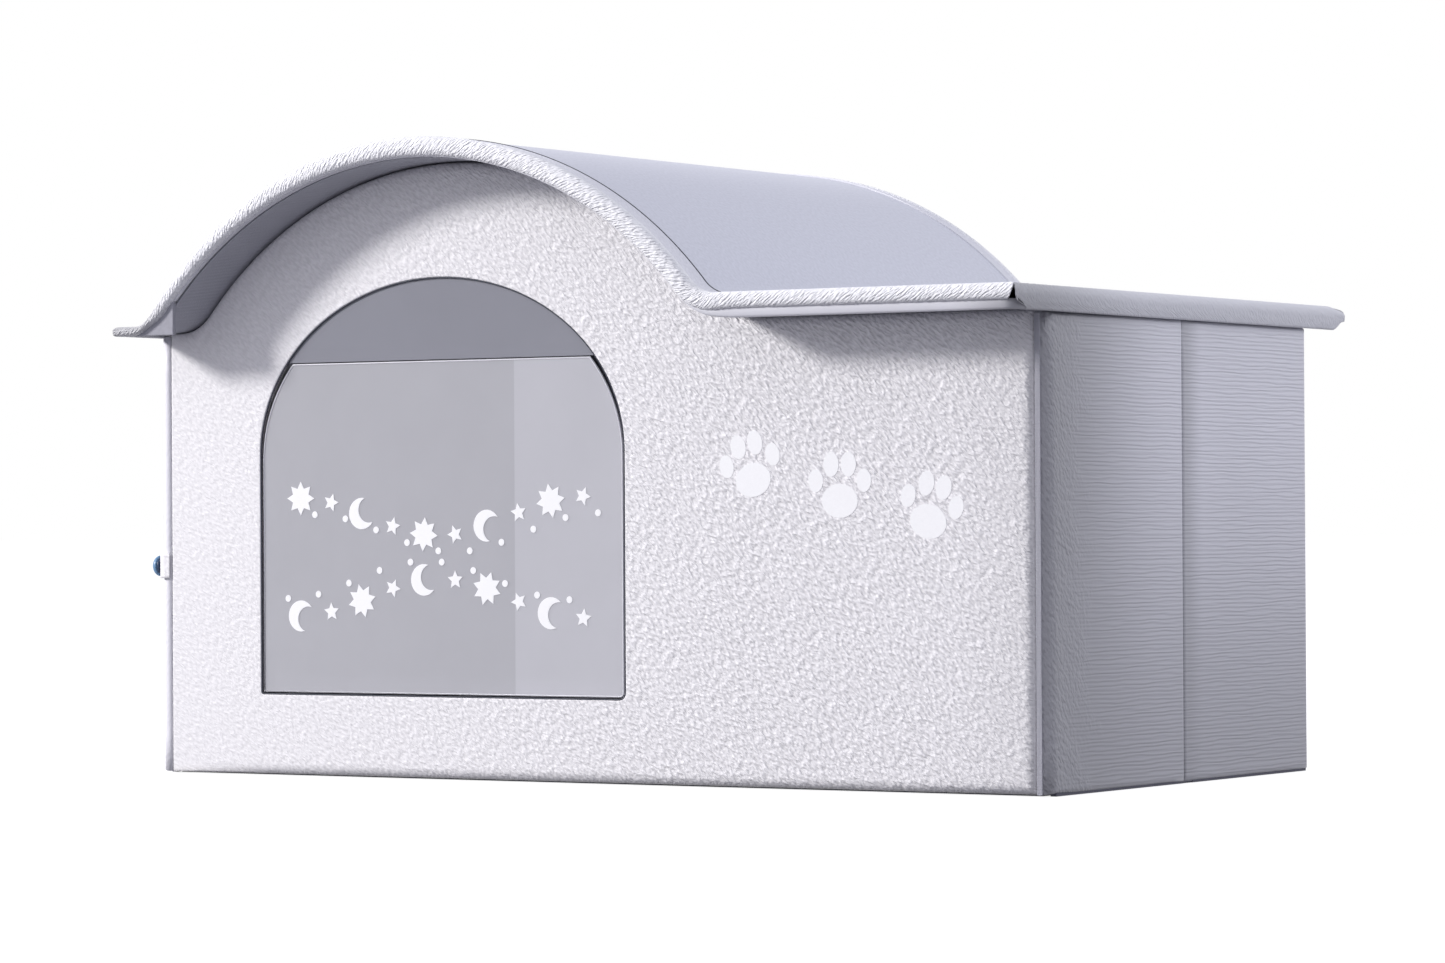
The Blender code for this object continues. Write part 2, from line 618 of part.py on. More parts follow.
def main():
    clear_scene()
    make_axes()
    make_front_and_rear_walls()
    for side in (1, -1):
        for end in (1, -1):
            make_leaf(side, end)
    make_hinge_tapes()
    make_roof()
    make_door()
    make_closure_tab()
    make_floor()


main()
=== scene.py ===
import math

import bmesh
import bpy
from mathutils import Matrix, Vector


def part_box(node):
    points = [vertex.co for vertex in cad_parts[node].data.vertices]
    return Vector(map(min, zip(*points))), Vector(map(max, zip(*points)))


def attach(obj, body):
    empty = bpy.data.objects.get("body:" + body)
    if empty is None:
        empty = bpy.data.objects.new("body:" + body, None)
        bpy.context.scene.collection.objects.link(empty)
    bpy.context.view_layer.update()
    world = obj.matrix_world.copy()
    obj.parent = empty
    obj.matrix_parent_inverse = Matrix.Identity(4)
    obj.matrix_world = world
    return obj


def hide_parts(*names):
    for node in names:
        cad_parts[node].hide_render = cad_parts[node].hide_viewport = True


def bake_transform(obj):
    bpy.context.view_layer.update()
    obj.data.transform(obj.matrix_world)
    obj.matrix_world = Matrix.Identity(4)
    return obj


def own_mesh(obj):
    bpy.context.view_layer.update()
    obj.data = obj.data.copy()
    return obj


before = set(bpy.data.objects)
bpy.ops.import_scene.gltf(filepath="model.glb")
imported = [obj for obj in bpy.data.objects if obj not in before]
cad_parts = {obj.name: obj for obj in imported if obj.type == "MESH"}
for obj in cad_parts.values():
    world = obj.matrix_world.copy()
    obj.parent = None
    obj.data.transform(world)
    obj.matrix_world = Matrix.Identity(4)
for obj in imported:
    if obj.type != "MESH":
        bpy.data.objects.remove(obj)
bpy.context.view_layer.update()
print("frame:", len(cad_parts), "nodes")

frontCover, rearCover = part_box("front_wall_cover"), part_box("rear_wall_cover")
sideCover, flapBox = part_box("right_front_cover"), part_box("door_flap")
frontBinding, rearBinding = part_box("roof_front_binding"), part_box("roof_rear_binding")
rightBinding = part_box("roof_right_binding")

# walls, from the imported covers
house = {
    "endX": frontCover[1].x,
    "frontY": frontCover[0].y,
    "frontBack": frontCover[1].y,
    "rearY": rearCover[1].y,
    "rearBack": rearCover[0].y,
    "innerX": sideCover[0].x,
    "outerX": sideCover[1].x,
    "leafTop": sideCover[1].z,
    "hem": frontCover[0].z,
    "eave": frontBinding[0].z,
}

# S-shaped line of the roof's underside
roofLine = {"fromLeft": 0.0033, "span": 0.5535, "rise": 0.1285, "footRadius": 0.045}
leftFootX = -house["innerX"] + roofLine["fromLeft"]
rightFootX = leftFootX + roofLine["span"]
archX = (leftFootX + rightFootX) / 2
feetZ = house["eave"] + roofLine["footRadius"]
feetDrop = roofLine["footRadius"] - roofLine["rise"]
archRadius = (roofLine["span"] ** 2 / 4 + feetDrop**2 - roofLine["footRadius"] ** 2) / (
    2 * (roofLine["footRadius"] - feetDrop)
)
archZ = house["eave"] + roofLine["rise"] - archRadius
footAngle = math.atan2(feetZ - archZ, roofLine["span"] / 2)
roofEnd = frontBinding[1].x


# node trees

def put(tree, kind, inputs=None, **settings):
    made = tree.nodes.new(kind)
    for key, value in settings.items():
        setattr(made, key, value)
    for key, value in (inputs or {}).items():
        if isinstance(value, bpy.types.NodeSocket):
            tree.links.new(value, made.inputs[key])
        else:
            made.inputs[key].default_value = value
    return made


def startTree(name, kind, inputs, outputs):
    tree = bpy.data.node_groups.new(name, kind)
    for label, socket, value in inputs:
        made = tree.interface.new_socket(label, in_out="INPUT", socket_type="NodeSocket" + socket)
        if value is not None:
            made.default_value = value
    for label, socket in outputs:
        tree.interface.new_socket(label, in_out="OUTPUT", socket_type="NodeSocket" + socket)
    return tree, tree.nodes.new("NodeGroupInput").outputs, tree.nodes.new("NodeGroupOutput").inputs


def shapeTree(name, inputs):
    inputs = [("Geometry", "Geometry", None), *inputs, ("Material", "Material", None)]
    return startTree(name, "GeometryNodeTree", inputs, [("Geometry", "Geometry")])


def closeTree(tree, source, output, geometry):
    real = put(tree, "GeometryNodeRealizeInstances", {"Geometry": geometry})
    smooth = put(tree, "GeometryNodeSetShadeSmooth", {"Geometry": real.outputs[0]})
    values = {"Geometry": smooth.outputs[0], "Material": source["Material"]}
    paint = put(tree, "GeometryNodeSetMaterial", values)
    tree.links.new(paint.outputs[0], output["Geometry"])


def applyTree(obj, tree, material, **values):
    modifier = obj.modifiers.new(tree.name, "NODES")
    modifier.node_group = tree
    sockets = {item.name: item.identifier for item in tree.interface.items_tree if item.in_out == "INPUT"}
    modifier[sockets["Material"]] = material
    for label, value in values.items():
        modifier[sockets[label]] = value
    graph = bpy.context.evaluated_depsgraph_get()
    final = obj.evaluated_get(graph)
    mesh = bpy.data.meshes.new_from_object(final, preserve_all_data_layers=True, depsgraph=graph)
    obj.modifiers.remove(modifier)
    obj.data = mesh
    return obj


def mathNode(tree, operation, first, second=None, third=None):
    values = {i: v for i, v in enumerate((first, second, third)) if v is not None}
    return put(tree, "ShaderNodeMath", values, operation=operation).outputs[0]


def vectorNode(tree, operation, first, second=None, scale=None):
    values = {i: v for i, v in enumerate((first, second)) if v is not None}
    if scale is not None:
        values["Scale"] = scale
    return put(tree, "ShaderNodeVectorMath", values, operation=operation).outputs[0]


def combine(tree, **axes):
    return put(tree, "ShaderNodeCombineXYZ", axes).outputs[0]


def separate(tree, vector):
    return put(tree, "ShaderNodeSeparateXYZ", {"Vector": vector}).outputs


def noise(tree, vector, scale, detail, **more):
    values = {"Vector": vector, "Scale": scale, "Detail": detail, **more}
    return put(tree, "ShaderNodeTexNoise", values).outputs


def remap(tree, value, low, high, first=0.0, last=1.0, smooth=False):
    values = {"Value": value, "From Min": low, "From Max": high, "To Min": first, "To Max": last}
    kind = "SMOOTHSTEP" if smooth else "LINEAR"
    return put(tree, "ShaderNodeMapRange", values, interpolation_type=kind).outputs[0]


def namedValue(tree, label):
    made = put(tree, "GeometryNodeInputNamedAttribute", {"Name": label}, data_type="FLOAT")
    return made.outputs["Attribute"]


def useGroup(tree, group, **inputs):
    return put(tree, "ShaderNodeGroup", inputs, node_tree=group).outputs


# meshes

def newPiece(name, bm, material=None):
    mesh = bpy.data.meshes.new(name)
    bm.to_mesh(mesh)
    bm.free()
    obj = bpy.data.objects.new(name, mesh)
    bpy.context.scene.collection.objects.link(obj)
    if material:
        mesh.materials.append(material)
    return obj


def settle(obj, body, slotName, *nodes):
    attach(obj, body)
    dress(obj, slotName, *nodes)


def dress(obj, slotName, *nodes):
    if nodes:
        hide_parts(*nodes)


def finishFaces(bm):
    bmesh.ops.recalc_face_normals(bm, faces=bm.faces[:])
    for face in bm.faces:
        face.smooth = True


# faces between two closed loops
def bridge(bm, a, b):
    for i in range(len(a)):
        k = (i + 1) % len(a)
        bm.faces.new((a[i], a[k], b[k], b[i]))


# faces between open rows
def fillGrid(bm, rows):
    for a, b in zip(rows, rows[1:]):
        for i in range(len(a) - 1):
            bm.faces.new((a[i], a[i + 1], b[i + 1], b[i]))


def closedEdges(bm, verts):
    return [bm.edges.get(pair) or bm.edges.new(pair) for pair in zip(verts, verts[1:] + verts[:1])]


def thicken(obj, thickness, offset):
    shell = obj.modifiers.new("thickness", "SOLIDIFY")
    shell.thickness = thickness
    shell.offset = offset


def applyLast(obj):
    bpy.context.view_layer.objects.active = obj
    bpy.ops.object.modifier_apply(modifier=obj.modifiers[-1].name)


def cornerWords(side, end):
    return f"{'right' if side > 0 else 'left'}_{'rear' if end > 0 else 'front'}"


def camelName(words):
    first, *rest = words.split("_")
    return first + "".join(word.title() for word in rest)


# UV in metres, laid on whichever plane a face looks along, or unrolled by the piece's own rule
def layUV(bm, unroll=None):
    layer = bm.loops.layers.uv.new("UVMap")
    for face in bm.faces:
        normal = [abs(v) for v in face.normal]
        side = normal.index(max(normal))
        first, second = ((1, 2), (0, 2), (0, 1))[side]
        for loop in face.loops:
            place = loop.vert.co
            loop[layer].uv = unroll(place) if unroll else (place[first], place[second])


def line(start, stop, count):
    return [start + (stop - start) * i / (count - 1) for i in range(count)]


def ovalArc(centre, width, height, first, last, count):
    turns = line(first, last, count)
    return [(centre[0] + width * math.cos(a), centre[1] + height * math.sin(a)) for a in turns]


def rectangle(u0, v0, u1, v1):
    return [(u0, v0), (u1, v0), (u1, v1), (u0, v1)]


# a quarter turn between two straight runs that would meet at (u, v)
def quarter(u, v, du, dv, count):
    turns = line(0, math.pi / 2, count)[1:-1]
    return [(u + du * (1 - math.sin(a)), v + dv * (1 - math.cos(a))) for a in turns]


def roofPoints(offset):
    foot, arch = roofLine["footRadius"] - offset, archRadius + offset
    level = house["eave"] + offset
    points = [(-1.0, level)]
    points += ovalArc((leftFootX, feetZ), foot, foot, -math.pi / 2, -footAngle, 24)
    points += ovalArc((archX, archZ), arch, arch, math.pi - footAngle, footAngle, 220)[1:-1]
    points += ovalArc((rightFootX, feetZ), foot, foot, math.pi + footAngle, 1.5 * math.pi, 24)
    return points + [(1.0, level)]


def between(points, low, high):
    kept = []
    for (x0, z0), (x1, z1) in zip(points, points[1:]):
        if x1 <= low or x0 >= high:
            continue
        for x in (max(x0, low), min(x1, high)):
            point = (x, z0 + (z1 - z0) * (x - x0) / (x1 - x0))
            if not kept or point[0] - kept[-1][0] > 1e-6:
                kept.append(point)
    return kept


def spaced(points, count):
    lengths = [0.0]
    for a, b in zip(points, points[1:]):
        lengths.append(lengths[-1] + math.dist(a, b))
    found, i = [], 0
    for target in line(0, lengths[-1], count):
        while i < len(points) - 2 and lengths[i + 1] < target:
            i += 1
        share = (target - lengths[i]) / max(lengths[i + 1] - lengths[i], 1e-9)
        found.append(tuple(a + (b - a) * share for a, b in zip(points[i], points[i + 1])))
    return found


# place and upward normal at a distance along the roof's line, from its left end
def roofAt(distance):
    foot = roofLine["footRadius"]
    leftFlat, turn = leftFootX + roofEnd, math.pi / 2 - footAngle
    curve, bow = foot * turn, archRadius * (math.pi - 2 * footAngle)
    if distance < leftFlat:
        return (distance - roofEnd, house["eave"]), (0.0, 1.0)
    distance -= leftFlat
    if distance < curve:
        a = -math.pi / 2 + distance / foot
        return (leftFootX + foot * math.cos(a), feetZ + foot * math.sin(a)), (-math.cos(a), -math.sin(a))
    distance -= curve
    if distance < bow:
        a = math.pi - footAngle - distance / archRadius
        c, s = math.cos(a), math.sin(a)
        return (archX + archRadius * c, archZ + archRadius * s), (c, s)
    distance -= bow
    if distance < curve:
        a = math.pi + footAngle + distance / foot
        return (rightFootX + foot * math.cos(a), feetZ + foot * math.sin(a)), (-math.cos(a), -math.sin(a))
    return (rightFootX + distance - curve, house["eave"]), (0.0, 1.0)


roofLength = (
    2 * roofEnd - roofLine["span"]
    + 2 * roofLine["footRadius"] * (math.pi / 2 - footAngle)
    + archRadius * (math.pi - 2 * footAngle)
)


# finishes

grainLook = {"drift": 140.0, "roughness": 0.45, "fine": 900.0, "fineShare": 0.08, "mottle": 7.0}
ribLook = {"bend": 0.7, "waveShare": 0.25, "fray": 30.0, "frayReach": -0.10, "start": (-0.045, 0.02)}
weaveLook = {"fuzz": 700.0, "fuzzShare": 0.6, "mottle": 9.0}


def grainGroup():
    inputs = [("Vector", "Vector", None), ("Angle", "Float", 0.6), ("Along", "Float", 0.008),
              ("Across", "Float", 0.003), ("Wander", "Float", 0.0009)]
    outputs = [("Height", "Float"), ("Mottle", "Float")]
    tree, source, output = startTree("leatherGrain", "ShaderNodeTree", inputs, outputs)
    vector = source["Vector"]
    turned = put(tree, "ShaderNodeVectorRotate", {"Vector": vector, "Angle": source["Angle"]},
                 rotation_type="Z_AXIS").outputs[0]
    push = vectorNode(tree, "SUBTRACT", noise(tree, vector, grainLook["drift"], 1.0)["Color"], (0.5, 0.5, 0.5))
    push = vectorNode(tree, "SCALE", push, scale=source["Wander"])
    size = combine(tree, X=source["Along"], Y=source["Across"], Z=1.0)
    cell = vectorNode(tree, "DIVIDE", vectorNode(tree, "ADD", turned, push), size)
    ridge = noise(tree, cell, 1.0, 1.0, Roughness=grainLook["roughness"])["Fac"]
    fine = noise(tree, vector, grainLook["fine"], 2.0)["Fac"]
    tree.links.new(mathNode(tree, "MULTIPLY_ADD", fine, grainLook["fineShare"], ridge), output["Height"])
    tree.links.new(noise(tree, vector, grainLook["mottle"], 3.0)["Fac"], output["Mottle"])
    return tree


def ribGroup():
    inputs = [("Vector", "Vector", None), ("Pitch", "Float", 0.0032), ("Cell", "Float", 0.030),
              ("Depth", "Float", 0.22)]
    outputs = [("Height", "Float"), ("Mask", "Float")]
    tree, source, output = startTree("sideRibs", "ShaderNodeTree", inputs, outputs)
    vector = source["Vector"]
    size = combine(tree, X=source["Cell"], Y=source["Pitch"], Z=1.0)
    cell = vectorNode(tree, "DIVIDE", vector, size)
    bend = noise(tree, cell, ribLook["bend"], 1.0)["Fac"]
    rise = mathNode(tree, "ADD", separate(tree, cell)["Y"], bend)
    wave = mathNode(tree, "SINE", mathNode(tree, "MULTIPLY", rise, 2 * math.pi))
    wave = mathNode(tree, "MULTIPLY_ADD", wave, ribLook["waveShare"], bend)
    tree.links.new(mathNode(tree, "MULTIPLY", wave, source["Depth"]), output["Height"])
    fray = noise(tree, vector, ribLook["fray"], 2.0)["Fac"]
    reach = mathNode(tree, "MULTIPLY_ADD", fray, ribLook["frayReach"], separate(tree, vector)["X"])
    tree.links.new(remap(tree, reach, *ribLook["start"], smooth=True), output["Mask"])
    return tree


def weaveGroup():
    inputs = [("Vector", "Vector", None), ("Pitch", "Float", 0.0012)]
    outputs = [("Height", "Float"), ("Mottle", "Float")]
    tree, source, output = startTree("clothWeave", "ShaderNodeTree", inputs, outputs)
    vector = source["Vector"]
    turns = mathNode(tree, "DIVIDE", math.pi, source["Pitch"])
    apart = separate(tree, vectorNode(tree, "SCALE", vector, scale=turns))
    waves = [mathNode(tree, "ABSOLUTE", mathNode(tree, "SINE", apart[i])) for i in range(3)]
    height = mathNode(tree, "MULTIPLY", mathNode(tree, "MAXIMUM", waves[0], waves[1]), waves[2])
    fuzz = noise(tree, vector, weaveLook["fuzz"], 2.0)["Fac"]
    tree.links.new(mathNode(tree, "MULTIPLY_ADD", fuzz, weaveLook["fuzzShare"], height), output["Height"])
    tree.links.new(noise(tree, vector, weaveLook["mottle"], 3.0)["Fac"], output["Mottle"])
    return tree


grain, ribs, weave = grainGroup(), ribGroup(), weaveGroup()


def startMaterial(name, roughness):
    material = bpy.data.materials.new(name)
    material.use_nodes = True
    tree = material.node_tree
    shader = tree.nodes["Principled BSDF"]
    shader.inputs["Roughness"].default_value = roughness
    return material, tree, shader


def paint(tree, shader, factor, colour, darker):
    mix = put(tree, "ShaderNodeMix", {"Factor": factor}, data_type="RGBA")
    mix.inputs["A"].default_value = (*[c * darker for c in colour], 1)
    mix.inputs["B"].default_value = (*colour, 1)
    tree.links.new(mix.outputs["Result"], shader.inputs["Base Color"])


def relief(tree, shader, height, distance):
    bump = put(tree, "ShaderNodeBump", {"Height": height, "Distance": distance, "Strength": 1.0})
    tree.links.new(bump.outputs[0], shader.inputs["Normal"])


def unrolled(tree):
    return put(tree, "ShaderNodeUVMap", uv_map="UVMap").outputs[0]


def atObject(tree):
    return put(tree, "ShaderNodeTexCoord").outputs["Object"]


leatherLook = {"shade": (0.36, 0.70), "flatShade": 0.6}
clothLook = {"dark": 0.86, "sheen": 0.15}
mouldedLook = {"spots": 900.0, "dark": 0.93, "depth": 0.00004}
filmLook = {"roughness": 0.18, "ripple": 14.0, "dark": 0.97, "depth": 0.0012, "haze": 0.03}


# along the UV: fade is (start, stop), painted shade before it; deepen and edge are (start, stop, least) for
# the grain's height and for the colour, where edge paints shade
def leather(name, colour, angle, depth, roughness=0.55, along=0.0034, across=0.0020, gloss=0.5, fade=None,
            dark=0.92, deepen=None, edge=None):
    material, tree, shader = startMaterial(name, roughness)
    place = unrolled(tree)
    height = useGroup(tree, grain, Vector=place, Angle=angle, Along=along, Across=across)["Height"]
    reach = separate(tree, place)["X"]
    shade = remap(tree, height, *leatherLook["shade"])
    if deepen:
        share = remap(tree, reach, *deepen)
        height = mathNode(tree, "MULTIPLY", height, share)
        values = {"Factor": share, "A": leatherLook["flatShade"], "B": shade}
        shade = put(tree, "ShaderNodeMix", values, data_type="FLOAT").outputs["Result"]
    if edge:
        start, stop, least = edge
        shade = mathNode(tree, "MULTIPLY", shade, remap(tree, reach, start, stop, 1.0, least))
    if fade:
        shade = remap(tree, reach, *fade, smooth=True)
    paint(tree, shader, shade, colour, dark)
    relief(tree, shader, height, depth)
    shader.inputs["Specular IOR Level"].default_value = gloss
    return material


# (start, stop, least): painted shade, darker along the front edge, the crease and the hem
sideShade = {"front": (-0.002, 0.21, 0.0), "crease": (0.298, 0.335, 0.35), "hem": (0.0, 0.30, 0.25),
             "dark": 0.47, "frontLeafEnd": 0.25, "mottle": (0.2, 0.9), "roughness": 0.5,
             "grain": {"Angle": 0.9, "Along": 0.0055, "Across": 0.0032}}


def sideLeather(name, colour, dark=sideShade["dark"], depth=0.0022, shaded=True):
    material, tree, shader = startMaterial(name, sideShade["roughness"])
    place = unrolled(tree)
    skin = useGroup(tree, grain, Vector=place, **sideShade["grain"])
    bars = useGroup(tree, ribs, Vector=place)
    mix = put(tree, "ShaderNodeMix", {"Factor": bars["Mask"], "A": skin["Height"], "B": bars["Height"]},
              data_type="FLOAT")
    apart = separate(tree, place)
    # painted light along the front edge: painted shade where dark is below 1, a painted highlight where it is
    # above 1
    shade = remap(tree, apart["X"], *sideShade["front"], smooth=True)
    # painted shade at the crease and towards the hem
    if shaded:
        onFront = mathNode(tree, "LESS_THAN", apart["X"], sideShade["frontLeafEnd"])
        crease = remap(tree, apart["X"], *sideShade["crease"], smooth=True)
        crease = mathNode(tree, "MAXIMUM", crease, onFront)
        hem = remap(tree, apart["Y"], *sideShade["hem"], smooth=True)
        shade = mathNode(tree, "MULTIPLY", mathNode(tree, "MULTIPLY", shade, crease), hem)
    mottle = mathNode(tree, "MULTIPLY_ADD", skin["Mottle"], *sideShade["mottle"])
    shade = mathNode(tree, "MULTIPLY", shade, mottle)
    paint(tree, shader, shade, colour, dark)
    relief(tree, shader, mix.outputs["Result"], depth)
    return material


def cloth(name, colour, pitch, depth, roughness=0.9):
    material, tree, shader = startMaterial(name, roughness)
    yarn = useGroup(tree, weave, Vector=atObject(tree), Pitch=pitch)
    paint(tree, shader, yarn["Mottle"], colour, clothLook["dark"])
    relief(tree, shader, yarn["Height"], depth)
    shader.inputs["Sheen Weight"].default_value = clothLook["sheen"]
    return material


def moulded(name, colour, roughness, metallic=0.0):
    material, tree, shader = startMaterial(name, roughness)
    spots = noise(tree, atObject(tree), mouldedLook["spots"], 3.0)["Fac"]
    paint(tree, shader, spots, colour, mouldedLook["dark"])
    shader.inputs["Metallic"].default_value = metallic
    relief(tree, shader, spots, mouldedLook["depth"])
    return material


# step is (place, share): right of the place the film is lighter, as painted light of the room behind it
def clearFilm(name, colour, alpha, step=None):
    material, tree, shader = startMaterial(name, filmLook["roughness"])
    place = atObject(tree)
    ripple = noise(tree, place, filmLook["ripple"], 2.0)["Fac"]
    tone, darker = ripple, filmLook["dark"]
    if step:
        tone, darker = mathNode(tree, "GREATER_THAN", separate(tree, place)["X"], step[0]), step[1]
    paint(tree, shader, tone, colour, darker)
    relief(tree, shader, ripple, filmLook["depth"])
    haze = remap(tree, ripple, 0.0, 1.0, alpha - filmLook["haze"], alpha + filmLook["haze"])
    tree.links.new(haze, shader.inputs["Alpha"])
    return material


finishes = {
    # painted shade: the wall leather darker beyond x 0.33, towards its right end
    "wall": leather("wallLeather", (0.92, 0.905, 0.915), 0.62, 0.0021, along=0.0054, across=0.0020, dark=0.76,
                    deepen=(-0.40, 0.15, 0.36), edge=(0.33, 0.40, 0.25)),
    # painted shade: the side leather is a darker, bluer copy of the wall's leather
    "side": sideLeather("sideLeather", (0.79, 0.785, 0.835)),
    # the left leaves wear a still darker copy, set against the key lamp that falls full on them, with a
    # painted highlight along the front edge
    "leftSide": sideLeather("leftSideLeather", (0.56, 0.555, 0.585), 1.40, 0.0003, False),
    # painted shade: the front and rear rims darker at their left ends, over the flange
    "rim": leather("rimLeather", (0.85, 0.85, 0.87), 0.9, 0.0022, 0.55, 0.0056, 0.0018, fade=(0.010, 0.085),
                   dark=0.62),
    # painted shade: the side bars are a darker copy of the rims' leather, darker still at their front ends
    "bar": leather("barLeather", (0.68, 0.68, 0.72), 0.9, 0.0010, 0.5, 0.0045, 0.0020, fade=(0.0, 0.22),
                   dark=0.60),
    # painted shade: the lip darker towards the roof's right end and round the corner
    "lip": leather("lipLeather", (0.66, 0.66, 0.70), -0.3, 0.00008, 0.45, 0.004, 0.003, 0.35,
                   fade=(0.0, 0.06), dark=0.55),
    # painted shade: the web is a darker copy of the lip's leather
    "web": leather("webLeather", (0.37, 0.37, 0.41), -0.3, 0.00008, 0.5, 0.004, 0.003, 0.15),
    "band": leather("bandLeather", (0.77, 0.77, 0.81), 0.6, 0.0005, 0.6, 0.0040, 0.0022, 0.15),
    "roof": leather("roofSatin", (0.70, 0.71, 0.765), 0.2, 0.00006, 0.65, 0.003, 0.003, 0.12),
    # painted shade: the roof's lining is a darker copy of the walls' lining cloth
    "roofLining": cloth("roofLining", (0.41, 0.415, 0.465), 0.0011, 0.0002),
    "lining": cloth("liningCloth", (0.70, 0.70, 0.745), 0.0011, 0.0002),
    # painted shade: the side linings are a darker copy of the walls' lining cloth
    "sideLining": cloth("sideLining", (0.42, 0.42, 0.46), 0.0011, 0.0002),
    "board": moulded("stiffBoard", (0.10, 0.10, 0.13), 0.75),
    "tape": cloth("hingeTape", (0.42, 0.42, 0.47), 0.0009, 0.0002),
    "hook": cloth("hookAndLoop", (0.03, 0.03, 0.04), 0.0007, 0.0005, 0.95),
    "base": cloth("baseCloth", (0.20, 0.20, 0.24), 0.0013, 0.0002),
    "cushion": cloth("cushionCloth", (0.66, 0.65, 0.70), 0.0014, 0.0004),
    # painted light: the flap film lighter right of x -0.061, where the lit rear of the room shows through
    "film": clearFilm("doorFilm", (0.72, 0.72, 0.755), 0.62, (-0.061, 0.86)),
    "headerFilm": clearFilm("headerFilm", (0.36, 0.365, 0.41), 0.66),
    # painted highlight: the film edge is a light bead along the flap's rim
    "filmEdge": moulded("filmEdge", (0.74, 0.74, 0.78), 0.4),
    "hemFilm": clearFilm("hemFilm", (0.50, 0.50, 0.55), 0.75),
    # the dark welt also stands in for shade: in the gap round the doorway and in the front roof seam's groove
    "welt": moulded("doorWelt", (0.015, 0.018, 0.035), 0.5),
    "print": moulded("whitePrint", (0.97, 0.97, 0.97), 0.6),
    "cap": moulded("blueCap", (0.12, 0.25, 0.42), 0.35),
    "capBase": moulded("navyBase", (0.02, 0.05, 0.12), 0.35),
    "stud": moulded("studMetal", (0.62, 0.62, 0.64), 0.3, metallic=1.0),
}
print("finishes:", len(finishes))


# roof sheets: a grid laid on the roof's line

def roofSheetTree():
    inputs = [("Front", "Float", -0.2), ("Rear", "Float", 0.2), ("Offset", "Float", 0.0),
              ("Thickness", "Float", 0.001), ("Columns", "Int", 240), ("Rows", "Int", 12)]
    tree, source, output = shapeTree("roofSheet", inputs)
    path = put(tree, "GeometryNodeMeshToCurve", {"Mesh": source["Geometry"]}).outputs[0]
    grid = put(tree, "GeometryNodeMeshGrid", {"Size X": 1.0, "Size Y": 1.0, "Vertices X": source["Columns"],
                                             "Vertices Y": source["Rows"]}).outputs["Mesh"]
    apart = separate(tree, put(tree, "GeometryNodeInputPosition").outputs[0])
    along = mathNode(tree, "ADD", apart["X"], 0.5)
    depth = remap(tree, apart["Y"], -0.5, 0.5, source["Front"], source["Rear"])
    sample = put(tree, "GeometryNodeSampleCurve", {"Curves": path, "Factor": along}, mode="FACTOR")
    normal = vectorNode(tree, "CROSS_PRODUCT", sample.outputs["Tangent"], (0.0, 1.0, 0.0))
    lift = vectorNode(tree, "SCALE", normal, scale=source["Offset"])
    raised = vectorNode(tree, "ADD", sample.outputs["Position"], lift)
    place = vectorNode(tree, "ADD", raised, combine(tree, Y=depth))
    length = put(tree, "GeometryNodeCurveLength", {"Curve": path}).outputs[0]
    flat = combine(tree, X=mathNode(tree, "MULTIPLY", along, length), Y=depth)
    mapped = put(tree, "GeometryNodeStoreNamedAttribute", {"Geometry": grid, "Name": "UVMap", "Value": flat},
                 data_type="FLOAT2", domain="CORNER").outputs[0]
    sheet = put(tree, "GeometryNodeSetPosition", {"Geometry": mapped, "Position": place}).outputs[0]
    upper = put(tree, "GeometryNodeExtrudeMesh", {"Mesh": sheet, "Offset Scale": source["Thickness"],
                                                 "Individual": False}, mode="FACES").outputs["Mesh"]
    under = put(tree, "GeometryNodeFlipFaces", {"Mesh": sheet}).outputs[0]
    joined = put(tree, "GeometryNodeJoinGeometry")
    tree.links.new(upper, joined.inputs[0])
    tree.links.new(under, joined.inputs[0])
    merged = put(tree, "GeometryNodeMergeByDistance", {"Geometry": joined.outputs[0], "Distance": 1e-5})
    closeTree(tree, source, output, merged.outputs[0])
    return tree


def polyline(name, points):
    bm = bmesh.new()
    verts = [bm.verts.new(p) for p in points]
    for pair in zip(verts, verts[1:]):
        bm.edges.new(pair)
    return newPiece(name, bm)


def sharpen(obj, angle=40):
    mesh = obj.data
    bm = bmesh.new()
    bm.from_mesh(mesh)
    for edge in bm.edges:
        edge.smooth = len(edge.link_faces) == 2 and edge.calc_face_angle(0) < math.radians(angle)
    bm.to_mesh(mesh)
    bm.free()


roofSheets = {
    "top": {"endX": 0.3946, "Front": -0.2428, "Rear": 0.2570, "Offset": 0.0137, "Thickness": 0.0013},
    "under": {"endX": 0.4125, "Front": -0.2600, "Rear": 0.2700, "Offset": 0.0002, "Thickness": 0.0008},
    "points": 420,
    "Columns": 260,
    "Rows": 14,
}


def makeRoofSheets():
    tree = roofSheetTree()
    for name, key, finish, slotName, nodes in (
        ("roofTop", "top", "roof", "roof_sheet", ("roof_top_cover", "roof_board")),
        ("roofUnderside", "under", "roofLining", "lining_cloth", ("roof_lining",)),
    ):
        sizes = roofSheets[key]
        points = spaced(between(roofPoints(0), -sizes["endX"], sizes["endX"]), roofSheets["points"])
        obj = polyline(name, [(x, 0, z) for x, z in points])
        values = {label: sizes[label] for label in ("Front", "Rear", "Offset", "Thickness")}
        values.update({label: roofSheets[label] for label in ("Columns", "Rows")})
        applyTree(obj, tree, finishes[finish], **values)
        sharpen(obj)
        settle(obj, "roof", slotName, *nodes)
    print("roof sheets made")


makeRoofSheets()


# flat pieces cut from an outline

